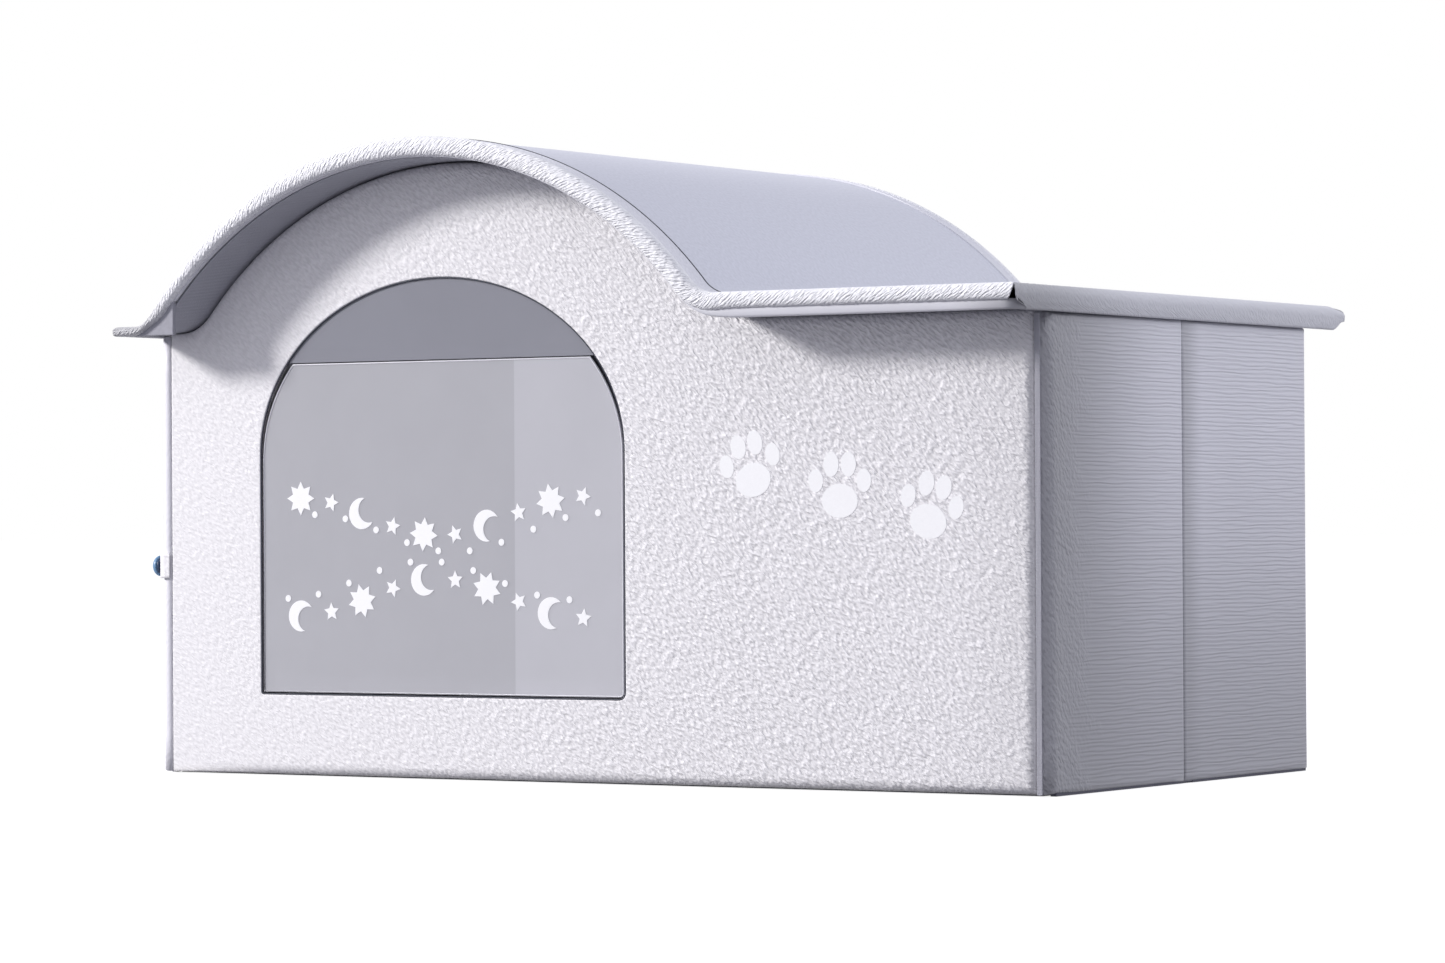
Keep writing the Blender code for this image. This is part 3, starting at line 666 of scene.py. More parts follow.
def flatPiece(name, outline, place, near, far, material, holes=()):
    bm = bmesh.new()
    edges = []
    for points in (outline, *holes):
        edges += closedEdges(bm, [bm.verts.new(place(u, v, near)) for u, v in points])
    bmesh.ops.triangle_fill(bm, use_beauty=True, edges=edges)
    swept = bmesh.ops.extrude_face_region(bm, geom=bm.faces[:])
    moved = [v for v in swept["geom"] if isinstance(v, bmesh.types.BMVert)]
    bmesh.ops.translate(bm, verts=moved, vec=Vector(place(0, 0, far)) - Vector(place(0, 0, near)))
    bmesh.ops.recalc_face_normals(bm, faces=bm.faces[:])
    layUV(bm)
    return newPiece(name, bm, material)


def onWall(u, v, w):
    return u, w, v


def soften(obj, width):
    bevel = obj.modifiers.new("edges", "BEVEL")
    bevel.width = width
    bevel.segments = 2
    bevel.angle_limit = math.radians(40)


# rims: a wrinkled roll and a smooth band run along each edge of the roof, with a lip below the front one

# heights are from the roof's line
rims = {
    "high": rightBinding[1].z - house["eave"],
    "frontBand": frontBinding[1].y - frontBinding[0].y,
    "rearBand": rearBinding[1].y - rearBinding[0].y,
    "sideBand": rightBinding[1].x - rightBinding[0].x,
    "step": 0.0009,
    "rollDepth": 0.0120,
    "rollFacets": 30,
    "rollFullness": 0.8,
    "rollWrinkles": (0.55, 0.6, 0.75),
    "rollLow": 0.0034,              # the roll's lower edge on the level part
    "archLow": 0.0008,              # and on the arch
    "levelBlend": (-0.035, 0.020),  # from one to the other, about the start of the level part
    "bandThick": 0.0022,
    "bandStart": 0.62,
    "bandSunk": 0.0004,
    "bandSag": 0.0007,
    "bandFoot": 0.0010,
    "drop": -0.0035,                # the lip's lower edge
    "dropBlend": (0.018, 0.040),
    "mitreGap": 0.00025,
    "tipHigh": 0.0042,              # the left flange's top
    "flare": (0.022, 0.058, 0.25),  # along the line: end of the tip, end of the flare, full height
    "flareShare": 0.72,
    "wrinklePitch": 0.0028,
    "wrinkleSlant": 0.9,
    "wrinkleHeight": 0.0015,
    "wrinkleAcross": 60.0,
    "wrinkleMiddle": 0.58,
    "wrinkleStart": (0.05, 0.10),
    "leftWrinkle": 0.3,
    "rightWrinkle": (0.8, 0.1),
    "rightWrinkleEnd": (0.02, 0.16),
    "seedStep": 7.3,
    "endSlant": 0.005,
    "endRound": 0.0028,
    "rearEnd": 0.014,
    "barEnd": (0.020, 0.002),
    "barBead": 0.0019,
    "barFoot": (0.0046, 0.0004),
    "barIn": (0.0001, 0.0002),
    "barSeam": 0.0006,
    "barCrown": (0.0075, 0.0100),
    "cornerBack": 0.016,            # the right bar's lower part starts this far behind the corner
    "backBlend": (-0.0030, -0.0005),
}


def smoothStep(low, high, value):
    t = min(1.0, max(0.0, (value - low) / (high - low)))
    return t * t * (3 - 2 * t)


# closed sections of (depth from the edge, share of the height, wrinkles, lift)
def rollSection():
    section = []
    fullness, half = rims["rollFullness"], rims["rollDepth"] / 2
    level, outer, under = rims["rollWrinkles"]
    for i in range(rims["rollFacets"]):
        turn = 2 * math.pi * i / rims["rollFacets"]
        c, s = math.cos(turn), math.sin(turn)
        depth = half * (1 + math.copysign(abs(c) ** fullness, c))
        share = 0.5 + 0.5 * math.copysign(abs(s) ** fullness, s)
        section.append((depth, share, min(1.0, max(0.0, level - outer * c - under * s)), 0.0))
    return section


def barSection(top):
    low, inner, bead = rims["drop"], rims["rollDepth"], rims["barBead"]
    wide, crown = rims["barCrown"]
    crown = min(crown, (top - low) / 2)
    foot, under = rims["barFoot"]
    sideIn, beadIn = rims["barIn"]
    points = [(inner, under, 0.0), (foot, under, 0.0)]
    points += [(d, o, 0.2) for d, o in ovalArc((bead + beadIn, low + bead), bead, bead, 0, -math.pi, 9)]
    points += [(sideIn, low + (top - low) * 0.3, 0.7)]
    points += [(d, o, 1.0) for d, o in ovalArc((wide, top - crown), wide, crown, math.pi, math.pi / 2, 12)]
    points += [(inner, top - rims["barSeam"], 0.2)]
    return [(d, (o - low) / (top - low), wrinkles, 0.0) for d, o, wrinkles in points]


def bandSection(band):
    start, thick, sunk = rims["rollDepth"] * rims["bandStart"], rims["bandThick"], rims["bandSunk"]
    section = []
    for share in line(0, 1, 9):
        sag = rims["bandSag"] * math.sin(math.pi * share)
        section.append((start + (band - start) * share, 1.0, 0.0, -sunk - sag))
    section.append((band, 1.0, 0.0, -sunk - thick))
    section.append((start, 1.0, 0.0, -rims["bandFoot"] - thick))
    return section


def wrinkleTree():
    inputs = [("Pitch", "Float", 0.005), ("Slant", "Float", 0.7), ("Height", "Float", 0.001),
              ("Seed", "Float", 0.0)]
    tree, source, output = shapeTree("rimWrinkles", inputs)
    along, across, share = (namedValue(tree, label) for label in ("along", "across", "share"))
    leaning = mathNode(tree, "SUBTRACT", along, mathNode(tree, "MULTIPLY", across, source["Slant"]))
    cell = combine(tree, X=mathNode(tree, "DIVIDE", leaning, source["Pitch"]),
                   Y=mathNode(tree, "MULTIPLY", across, rims["wrinkleAcross"]), Z=source["Seed"])
    folds = noise(tree, cell, 1.0, 1.0)[0]
    height = mathNode(tree, "SUBTRACT", folds, rims["wrinkleMiddle"])
    height = mathNode(tree, "MULTIPLY", height, source["Height"])
    height = mathNode(tree, "MULTIPLY", height, share)
    push = vectorNode(tree, "SCALE", put(tree, "GeometryNodeInputNormal").outputs[0], scale=height)
    moved = put(tree, "GeometryNodeSetPosition", {"Geometry": source["Geometry"], "Offset": push}).outputs[0]
    closeTree(tree, source, output, moved)
    return tree


# at(distance) gives a point and a normal; inwards is the way from the rim to its seam
def sweepRim(name, section, length, at, inwards, mitres, heights, wrinkle, setBack=0.0, slant=0.0):
    bm = bmesh.new()
    layer = bm.loops.layers.uv.new("UVMap")
    marks = {key: bm.verts.layers.float.new(key) for key in ("along", "across", "share")}
    columns = round(length / rims["step"])
    around = [0.0]
    for a, b in zip(section, section[1:] + section[:1]):
        around.append(around[-1] + math.hypot(a[0] - b[0], (a[1] - b[1]) * rims["high"] + a[3] - b[3]))
    rings = []
    for i in range(columns + 1):
        ring = []
        for (d, share, wrinkles, lift), across in zip(section, around):
            low, top = heights(length * i / columns)
            above = low + (top - low) * share + lift - rims["rollLow"]
            lower = 1 - smoothStep(*rims["backBlend"], above)
            first = mitres[0] * d + rims["mitreGap"] + setBack * lower
            last = length - mitres[1] * d - rims["mitreGap"] - slant * (1 - share)
            along = first + (last - first) * i / columns
            place, normal = at(along)
            low, top = heights(along)
            offset = low + (top - low) * share + lift
            vert = bm.verts.new(Vector(place) + Vector(normal) * offset + Vector(inwards) * d)
            vert[marks["along"]], vert[marks["across"]] = along, across
            vert[marks["share"]] = wrinkles * wrinkle(along)
            ring.append(vert)
        rings.append(ring)
    count = len(section)
    for i in range(columns):
        for j in range(count):
            k = (j + 1) % count
            face = bm.faces.new((rings[i][j], rings[i][k], rings[i + 1][k], rings[i + 1][j]))
            steps = ((i, j), (i, j + 1), (i + 1, j + 1), (i + 1, j))
            for loop, (column, row) in zip(face.loops, steps):
                loop[layer].uv = (column * rims["step"], around[row])
    bm.faces.new(rings[0])
    bm.faces.new(rings[-1])
    finishFaces(bm)
    return newPiece(name, bm)


rightFlatStart = roofLength - (roofEnd - rightFootX)


def flareHeight(along):
    tip, flared, full = rims["flare"]
    first = rims["high"] * rims["flareShare"]
    height = rims["tipHigh"] + (first - rims["tipHigh"]) * smoothStep(tip, flared, along)
    return height + (rims["high"] - first) * smoothStep(flared, full, along)


# 0 on the arch, 1 on the level part
def levelShare(along):
    start, stop = rims["levelBlend"]
    return smoothStep(rightFlatStart + start, rightFlatStart + stop, along)


def rollLow(along):
    low = rims["archLow"] + (rims["rollLow"] - rims["archLow"]) * levelShare(along)
    return low + (rims["drop"] - low) * (1 - smoothStep(*rims["dropBlend"], along))


def makeRims():
    tree = wrinkleTree()
    front, rear, side = rims["frontBand"], rims["rearBand"], rims["sideBand"]
    frontY, rearY = frontBinding[0].y, rearBinding[1].y
    depth = rearY - frontY
    high, tip, drop = rims["high"], rims["tipHigh"], rims["drop"]

    def onLine(y):
        def at(distance):
            (x, z), (nx, nz) = roofAt(distance)
            return (x, y, z), (nx, 0.0, nz)
        return at

    def onSide(x):
        def at(distance):
            return (x, frontY + distance, house["eave"]), (0.0, 0.0, 1.0)
        return at

    def lineHeights(along):
        return rollLow(along), flareHeight(along)

    # above the hinge's line, so that it clears the rear wall when the roof is up
    def rearHeights(along):
        end = smoothStep(roofLength - rims["rearEnd"], roofLength, along)
        return max(rollLow(along), 0.0), flareHeight(along) - rims["endRound"] * end

    def barHeights(along):
        start, stop = rims["barEnd"]
        end = smoothStep(depth - start, depth - stop, along)
        return drop + (rims["rollLow"] - drop) * end, high - rims["endRound"] * end

    def onRoll(along):
        return smoothStep(*rims["wrinkleStart"], along)

    def nearCorner(along):
        first, last = rims["rightWrinkle"]
        return first - (first - last) * smoothStep(*rims["rightWrinkleEnd"], along)

    frontMitres, rearMitres, sideMitres = (side / front,) * 2, (side / rear,) * 2, (front / side, rear / side)
    plans = (
        ("Front", front, rollSection(), roofLength, onLine(frontY), (0, 1, 0), frontMitres,
         lineHeights, onRoll),
        ("Rear", rear, rollSection(), roofLength, onLine(rearY), (0, -1, 0), rearMitres,
         rearHeights, onRoll),
        ("Left", side, barSection(tip), depth, onSide(-roofEnd), (1, 0, 0), sideMitres,
         lambda along: (drop, tip), lambda along: rims["leftWrinkle"]),
        ("Right", side, barSection(high), depth, onSide(roofEnd), (-1, 0, 0), sideMitres,
         barHeights, nearCorner),
    )
    for seed, (name, band, section, length, at, inwards, mitres, heights, wrinkle) in enumerate(plans):
        setBack = rims["cornerBack"] if name == "Right" else 0.0
        slant = rims["endSlant"] if name == "Front" else 0.0
        obj = sweepRim(f"roof{name}Rim", section, length, at, inwards, mitres, heights, wrinkle, setBack,
                       slant)
        finish = "rim" if name in ("Front", "Rear") else "bar"
        applyTree(obj, tree, finishes[finish], Pitch=rims["wrinklePitch"], Slant=rims["wrinkleSlant"],
                  Height=rims["wrinkleHeight"], Seed=rims["seedStep"] * seed)
        settle(obj, "roof", "leatherette", f"roof_{name.lower()}_binding")
        obj = sweepRim(f"roof{name}Band", bandSection(band), length, at, inwards, mitres, heights, wrinkle)
        obj.data.materials.append(finishes["band"])
        sharpen(obj, 55)
        settle(obj, "roof", "leatherette")
    print("roof rims made")


makeRims()

lips = {"deep": 0.0040, "behind": 0.0045, "sideBehind": 0.0006, "turn": 0.012, "sideLength": 0.030,
        "webX": -0.3555, "webStart": 0.0012, "archLow": 0.0003, "archTop": 0.0016, "levelTop": 0.0046,
        "bevel": 0.0007, "columns": 500}
lipSection = ((0.0016, 0.0), (0.0005, 0.06), (0.0, 0.22), (0.0, 0.8), (0.0005, 0.95), (lips["deep"], 1.0),
              (lips["deep"], 0.0))


# (place, normal, way in, lower and upper edge) along the front and round the right corner
def lipStations(y, start):
    stations = []
    turn, endX = lips["turn"], roofEnd - lips["sideBehind"]
    for along in line(start, roofLength - lips["sideBehind"] - turn, lips["columns"]):
        (x, z), (nx, nz) = roofAt(along)
        level = levelShare(along)
        low = lips["archLow"] + (rims["drop"] - lips["archLow"]) * level
        top = lips["archTop"] + (lips["levelTop"] - lips["archTop"]) * level
        stations.append(((x, y, z), (nx, 0, nz), (0, 1, 0), low, top))
    heights = (rims["drop"], lips["levelTop"])
    for a in line(0, math.pi / 2, 12)[1:]:
        place = (endX - turn * (1 - math.sin(a)), y + turn * (1 - math.cos(a)), house["eave"])
        stations.append((place, (0, 0, 1), (-math.sin(a), math.cos(a), 0), *heights))
    for reach in line(0, lips["sideLength"], 10)[1:]:
        stations.append(((endX, y + turn + reach, house["eave"]), (0, 0, 1), (-1, 0, 0), *heights))
    return stations


def sweepLip(name, stations):
    bm = bmesh.new()
    rings = []
    for place, normal, inwards, low, top in stations:
        place, normal, inwards = Vector(place), Vector(normal), Vector(inwards)
        rings.append([bm.verts.new(place + normal * (low + (top - low) * share) + inwards * d)
                      for d, share in lipSection])
    for a, b in zip(rings, rings[1:]):
        bridge(bm, a, b)
    bm.faces.new(rings[0])
    bm.faces.new(rings[-1])
    finishFaces(bm)
    layUV(bm, lambda at: (roofEnd - at.x, at.y + at.z))
    obj = newPiece(name, bm, finishes["lip"])
    sharpen(obj, 50)
    return obj


# a flat web fills the space under the left flare
def webOutline(start):
    upper = []
    for along in line(lips["webStart"], start, 60):
        (x, z), (nx, nz) = roofAt(along)
        upper.append((x + nx * lips["archTop"], z + nz * lips["archTop"]))
    floor = house["eave"] + rims["drop"]
    return upper + [(upper[-1][0], floor), (upper[0][0], floor)]


def makeLips():
    start = next(d for d in line(0, roofLength, 4000) if roofAt(d)[0][0] > lips["webX"])
    near = frontBinding[0].y + lips["behind"]
    settle(sweepLip("roofFrontLip", lipStations(near, start)), "roof", "leatherette")
    obj = flatPiece("roofFrontWeb", webOutline(start), onWall, near, near + lips["deep"], finishes["web"])
    soften(obj, lips["bevel"])
    settle(obj, "roof", "leatherette")
    print("roof lips made")


makeLips()


# cords laid along a path: seam lines, door welt, piping

def cordTree():
    tree, source, output = shapeTree("layCord", [("Radius", "Float", 0.001), ("Sides", "Int", 8)])
    path = put(tree, "GeometryNodeMeshToCurve", {"Mesh": source["Geometry"]}).outputs[0]
    ring = put(tree, "GeometryNodeCurvePrimitiveCircle",
               {"Radius": source["Radius"], "Resolution": source["Sides"]})
    tube = put(tree, "GeometryNodeCurveToMesh", {"Curve": path, "Profile Curve": ring.outputs["Curve"],
                                                "Fill Caps": True}).outputs[0]
    closeTree(tree, source, output, tube)
    return tree


layCord = cordTree()
seamLines = {"radius": 0.0010, "offset": 0.0151, "frontY": -0.24335, "rearY": 0.25745, "endX": 0.394,
             "points": 360, "sides": 8}


def makeRoofSeams():
    for name, y, finish in (
        # the front seam's cord is dark, painted shade in its groove; the rear one wears the band's leather
        ("roofFrontSeam", seamLines["frontY"], "welt"),
        ("roofRearSeam", seamLines["rearY"], "band"),
    ):
        run = between(roofPoints(seamLines["offset"]), -seamLines["endX"], seamLines["endX"])
        obj = polyline(name, [(x, y, z) for x, z in spaced(run, seamLines["points"])])
        applyTree(obj, layCord, finishes[finish], Radius=seamLines["radius"], Sides=seamLines["sides"])
        settle(obj, "roof", "leatherette")
    print("roof seams laid")


makeRoofSeams()


# wall covers: a skin with rounded edges, its rim turned back, and the doorway's jamb

# loops of points run the same way round; outline(inset) and hole(grow) keep their number of points
def skinPiece(name, outline, place, depthAt, radius, material, hole=None, jamb=0.0, bulge=None, unroll=None):
    bm = bmesh.new()

    def loop(points, depth):
        depths = [depth(u, v) if callable(depth) else depth for u, v in points]
        return [bm.verts.new(place(u, v, w)) for (u, v), w in zip(points, depths)]

    def rounded(shape, rim, radius):
        loops = [loop(shape(0), rim)]
        for a in line(0, math.pi / 2, walls["roundSteps"]):
            sunk = radius * (1 - math.sin(a))
            points = shape(radius * (1 - math.cos(a)))
            loops.append(loop(points, lambda u, v: sunk * (bulge(u, v) if bulge and shape is outline else 1)))
        loops.append(loop(shape(radius + walls["flatStart"]), 0))
        for a, b in zip(loops, loops[1:]):
            bridge(bm, a, b)
        return loops[-1]

    edges = closedEdges(bm, rounded(outline, depthAt, radius))
    if hole:
        edges += closedEdges(bm, rounded(hole, jamb, walls["doorRadius"]))
    bmesh.ops.triangle_fill(bm, use_beauty=True, edges=edges)
    finishFaces(bm)
    facing = max(bm.faces, key=lambda face: face.calc_area())
    outwards = Vector(place(0, 0, 0)) - Vector(place(0, 0, 1))
    if facing.normal.dot(outwards) < 0:
        bmesh.ops.reverse_faces(bm, faces=bm.faces[:])
    layUV(bm, unroll)
    obj = newPiece(name, bm, material)
    thicken(obj, walls["skin"], -1.0)
    return obj


walls = {"roofGap": 0.0008, "frontRadius": 0.0080, "rearRadius": 0.0040, "doorRadius": 0.0010, "skin": 0.0006,
         "roundSteps": 7, "flatStart": 0.002, "headerJamb": 0.0012, "headerReach": 0.003, "jamb": 0.0068,
         "leftShare": 0.22, "leftBlend": (0.004, 0.020), "boardInset": 0.0060, "boardBehind": 0.0003,
         "boardGrow": 0.0030, "topPoints": 220, "sidePoints": 9}


def wallOutline(inset, leftShare=1.0):
    end, bottom = house["endX"] - inset, house["hem"] + inset
    leftEnd = inset * leftShare - house["endX"]
    top = spaced(between(roofPoints(-walls["roofGap"] - inset), leftEnd, end), walls["topPoints"])
    count = walls["sidePoints"]
    left = [(leftEnd, z) for z in line(bottom, top[0][1], count)[1:-1]]
    right = [(end, z) for z in line(top[-1][1], bottom, count)[1:-1]]
    floor = [(x, bottom) for x in line(end, leftEnd, count)]
    return left + top + right + floor


# the front wall's left edge is sharper than its right one
def frontOutline(inset):
    return wallOutline(inset, walls["leftShare"])


def frontBulge(u, v):
    share = walls["leftShare"]
    return share + (1 - share) * smoothStep(*walls["leftBlend"], u + house["endX"])


# doorway: a half oval on straight sides
door = {"x": -0.133, "clear": 0.0020, "spring": 0.257, "rise": 0.138, "leftCorner": 0.0022,
        "rightCorner": 0.006, "facets": 120, "cornerFacets": 6, "headerLine": 0.330}
door["half"] = flapBox[1].x - door["x"] + door["clear"]
door["sill"] = flapBox[0].z - door["clear"]


# part of the doorway's arch, lowered by drop
def filmArch(grow, drop, first, last, count):
    centre = (door["x"], door["spring"] - drop)
    return ovalArc(centre, door["half"] + grow, door["rise"] + grow, first, last, count)


def doorOutline(grow):
    foot = []
    for side, corner, first in ((-1, door["leftCorner"], math.pi), (1, door["rightCorner"], 1.5 * math.pi)):
        centre = (door["x"] + side * (door["half"] - corner), door["sill"] + corner)
        corner += grow
        foot += ovalArc(centre, corner, corner, first, first + math.pi / 2, door["cornerFacets"])
    return foot + filmArch(grow, 0, 0, math.pi, door["facets"])


def makeEndWalls():
    def frontPlace(u, v, w):
        return u, house["frontY"] + w, v

    def rearPlace(u, v, w):
        return u, house["rearY"] - w, v

    wall = house["frontBack"] - house["frontY"]

    # the turned edge is shallow where the header film lies behind it
    def jamb(u, v):
        return walls["headerJamb"] if v > door["headerLine"] - walls["headerReach"] else walls["jamb"]

    front = skinPiece("frontWallCover", frontOutline, frontPlace, wall, walls["frontRadius"],
                      finishes["wall"], doorOutline, jamb, frontBulge)
    settle(front, "front_wall", "leatherette", "front_wall_cover")
    near, far = flapBox[1].y + walls["boardBehind"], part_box("front_wall_board")[1].y
    board = flatPiece("frontWallBoard", wallOutline(walls["boardInset"]), onWall, near, far,
                      finishes["board"], [doorOutline(walls["boardGrow"])])
    settle(board, "front_wall", "stiff_board", "front_wall_board")
    rear = skinPiece("rearWallCover", wallOutline, rearPlace, wall, walls["rearRadius"], finishes["wall"])
    settle(rear, "rear_wall", "leatherette", "rear_wall_cover")
    print("front and rear covers made")


makeEndWalls()

# frontRound and frontRecess are by side, grainStart by end
leaves = {"radius": 0.0040, "points": 13, "gap": 0.0003, "grainStart": {-1: 0.0, 1: 0.30},
          "frontRound": {1: 2.3, -1: 1.5}, "frontRecess": {1: 0.0028, -1: 0.0008},
          "cornerBlend": (0.012, 0.030), "creaseRound": 0.6, "creaseBlend": (0.004, 0.020),
          "boardInset": 0.0110}


def makeLeaf(side, end):
    words = cornerWords(side, end)
    recess = leaves["frontRecess"][side] if end < 0 else 0.0
    crease, corner = end * leaves["gap"], end * (house["rearY"] - recess)
    cornerRound = leaves["frontRound"][side] if end < 0 else 1.0

    def outline(inset):
        bottom, top = house["hem"] + inset, house["leafTop"] - inset
        far, near = corner - end * inset * cornerRound, crease + end * inset * leaves["creaseRound"]
        stops = rectangle(near, bottom, far, top)
        points = []
        for (u0, v0), (u1, v1) in zip(stops, stops[1:] + stops[:1]):
            points += list(zip(line(u0, u1, leaves["points"]), line(v0, v1, leaves["points"])))[:-1]
        return points

    def place(u, v, w):
        return side * (house["outerX"] - w), u, v

    def depth(u, v):
        nearCrease = abs(u) < leaves["creaseBlend"][1]
        return leaves["radius"] if nearCrease else house["outerX"] - house["innerX"]

    # rounder along the front edge, sharper along the crease
    def bulge(u, v):
        atCorner = 1 - smoothStep(*leaves["cornerBlend"], abs(u - corner))
        atCrease = 1 - smoothStep(*leaves["creaseBlend"], abs(u - crease))
        return 1 + (cornerRound - 1) * atCorner + (leaves["creaseRound"] - 1) * atCrease

    start = leaves["grainStart"][end] - min(crease, corner)

    def unroll(at):
        return at.y + start - (house["outerX"] - abs(at.x)), at.z

    name = camelName(words)
    obj = skinPiece(name + "Cover", outline, place, depth, leaves["radius"],
                    finishes["side" if side > 0 else "leftSide"], bulge=bulge, unroll=unroll)
    settle(obj, words + "_leaf", "side_leatherette", words + "_cover")
    if end < 0:
        low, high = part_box(words + "_board")
        shape = rectangle(corner + leaves["boardInset"], low.z, high.y, high.z)
        obj = flatPiece(name + "Board", shape, lambda u, v, w: (w, u, v), low.x, high.x, finishes["board"])
        settle(obj, words + "_leaf", "stiff_board", words + "_board")


for side in (1, -1):
    for end in (1, -1):
        makeLeaf(side, end)
print("side leaves made")


linings = {"inset": 0.0020, "doorGrow": 0.0010}


def makeLinings():
    for name, node, body, holes in (
        ("frontWallLining", "front_wall_lining", "front_wall", [doorOutline(linings["doorGrow"])]),
        ("rearWallLining", "rear_wall_lining", "rear_wall", []),
    ):
        low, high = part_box(node)
        near, far = (low.y, high.y) if body == "front_wall" else (high.y, low.y)
        obj = flatPiece(name, wallOutline(linings["inset"]), onWall, near, far, finishes["lining"], holes)
        settle(obj, body, "lining_cloth", node)
    print("linings made")


makeLinings()


# door film, its hem and welt

filmSizes = {"margin": 0.0095, "drop": 0.0040, "split": 0.0004, "headerFacets": 60, "sideFacets": 24,
             "edgeIn": 0.0008, "edgeRadius": 0.0005, "weltRadius": 0.0007, "weltGrow": -0.0004,
             "weltBehind": 0.0008}


def flapOutline(inset):
    chord = door["headerLine"] - filmSizes["split"] - inset
    clear, drop, facets = door["clear"] + inset, filmSizes["drop"], filmSizes["sideFacets"]
    angle = math.asin((chord - door["spring"] + drop) / (door["rise"] - clear))
    outline = filmArch(-clear, drop, math.pi - angle, math.pi, facets)
    outline += doorOutline(-clear)[: 2 * door["cornerFacets"]]
    return outline + filmArch(-clear, drop, 0, angle, facets)


def ringCord(name, points, y, radius, finish, body, slotName):
    obj = polyline(name, [(u, y, v) for u, v in points + points[:1]])
    bm = bmesh.new()
    bm.from_mesh(obj.data)
    bmesh.ops.remove_doubles(bm, verts=bm.verts[:], dist=1e-6)
    bm.to_mesh(obj.data)
    bm.free()
    applyTree(obj, layCord, finishes[finish], Radius=radius, Sides=seamLines["sides"])
    settle(obj, body, slotName)


def makeFilm():
    near, far = flapBox[0].y, flapBox[1].y
    chord = door["headerLine"] + filmSizes["split"]
    angle = math.asin((chord - door["spring"]) / (door["rise"] + filmSizes["margin"]))
    header = filmArch(filmSizes["margin"], 0, angle, math.pi - angle, filmSizes["headerFacets"])
    for name, outline, finish, body, node in (
        ("doorHeaderFilm", header, "headerFilm", "front_wall", "door_header"),
        ("doorFlapFilm", flapOutline(0), "film", "door_flap", "door_flap"),
    ):
        settle(flatPiece(name, outline, onWall, near, far, finishes[finish]), body, "tinted_film", node)
    # a light bead round the flap, a painted highlight of the film's edge
    ringCord("doorFlapEdge", flapOutline(filmSizes["edgeIn"]), near, filmSizes["edgeRadius"], "filmEdge",
             "door_flap", "tinted_film")
    low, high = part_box("door_hem_strip")
    hem = rectangle(low.x, low.z, high.x, high.z)
    obj = flatPiece("doorHem", hem, onWall, low.y, high.y, finishes["hemFilm"])
    settle(obj, "door_flap", "tinted_film", "door_hem_strip")
    # a dark welt round the doorway, which also stands in for the shade of the gap between film and wall
    ringCord("doorWelt", doorOutline(filmSizes["weltGrow"]), house["frontY"] + filmSizes["weltBehind"],
             filmSizes["weltRadius"], "welt", "front_wall", "leatherette")
    print("door film and welt made")


makeFilm()


# printed shapes, stamped on points

def stampTree():
    tree, source, output = shapeTree("stampShapes", [("Stamp", "Object", None)])
    stamp = put(tree, "GeometryNodeObjectInfo", {"Object": source["Stamp"]}).outputs["Geometry"]
    points = put(tree, "GeometryNodeMeshToPoints", {"Mesh": source["Geometry"]}).outputs[0]
    size = namedValue(tree, "size")
    values = {"Points": points, "Instance": stamp, "Rotation": combine(tree, Y=namedValue(tree, "turn")),
              "Scale": combine(tree, X=size, Y=1.0, Z=size)}
    closeTree(tree, source, output, put(tree, "GeometryNodeInstanceOnPoints", values).outputs[0])
    return tree


def starShape(points, waist):
    turns = [math.pi * i / points for i in range(2 * points)]
    return [(math.sin(a) * r, math.cos(a) * r) for a, r in zip(turns, [0.5, 0.5 * waist] * points)]


def ovalShape(x, z, width, height, facets=24):
    return ovalArc((x, z), width, height, 0, 2 * math.pi * (facets - 1) / facets, facets)


def moonShape(bite=0.30, facets=20):
    outer = ovalArc((0, 0), 0.5, 0.5, math.pi * 0.30, math.pi * 1.70, facets)
    start, stop = outer[-1], outer[0]
    radius = math.hypot(start[0] - bite, start[1])
    first = math.atan2(start[1], start[0] - bite) + 2 * math.pi
    last = math.atan2(stop[1], stop[0] - bite)
    return outer + ovalArc((bite, 0), radius, radius, first, last, facets)[1:-1]


# a pad and four toes, as (x, z, half width, half height)
pawOvals = ((0, -0.16, 0.27, 0.22), (-0.36, 0.10, 0.11, 0.15), (-0.13, 0.31, 0.115, 0.16),
            (0.13, 0.31, 0.115, 0.16), (0.36, 0.10, 0.11, 0.15))
prints = {"proud": 0.0002, "sunk": 0.0001}


def stampShape(name, shapes):
    bm = bmesh.new()
    for shape in shapes:
        near = [bm.verts.new((u, -prints["proud"], v)) for u, v in shape]
        back = [bm.verts.new((u, prints["sunk"], v)) for u, v in shape]
        for verts in (near, back):
            bmesh.ops.triangle_fill(bm, use_beauty=True, edges=closedEdges(bm, verts))
        bridge(bm, near, back)
    bmesh.ops.recalc_face_normals(bm, faces=bm.faces[:])
    return newPiece(name, bm)


# marks are (x, z, size, turn)
def stampMarks(tree, name, shapes, marks, y, body, slotName):
    stamp = stampShape(name + "Stamp", shapes)
    bm = bmesh.new()
    size, turn = bm.verts.layers.float.new("size"), bm.verts.layers.float.new("turn")
    for u, v, across, angle in marks:
        vert = bm.verts.new((u, y, v))
        vert[size], vert[turn] = across, angle
    obj = applyTree(newPiece(name, bm), tree, finishes["print"], Stamp=stamp)
    sharpen(obj)
    bpy.data.objects.remove(stamp)
    settle(obj, body, slotName)


filmPrint = {"columns": 10, "width": 0.272, "rows": (0.207, 0.143), "sway": 0.015, "big": 0.027,
             "small": 0.015, "moon": 0.025, "dot": 0.0055, "dotShifts": ((0.014, -0.013), (-0.013, 0.014)),
             "lean": (0.4, 2.3)}
wallPrint = {"x": 0.235, "z": 0.226, "step": (0.078, -0.016), "size": 0.058, "lean": 0.22}


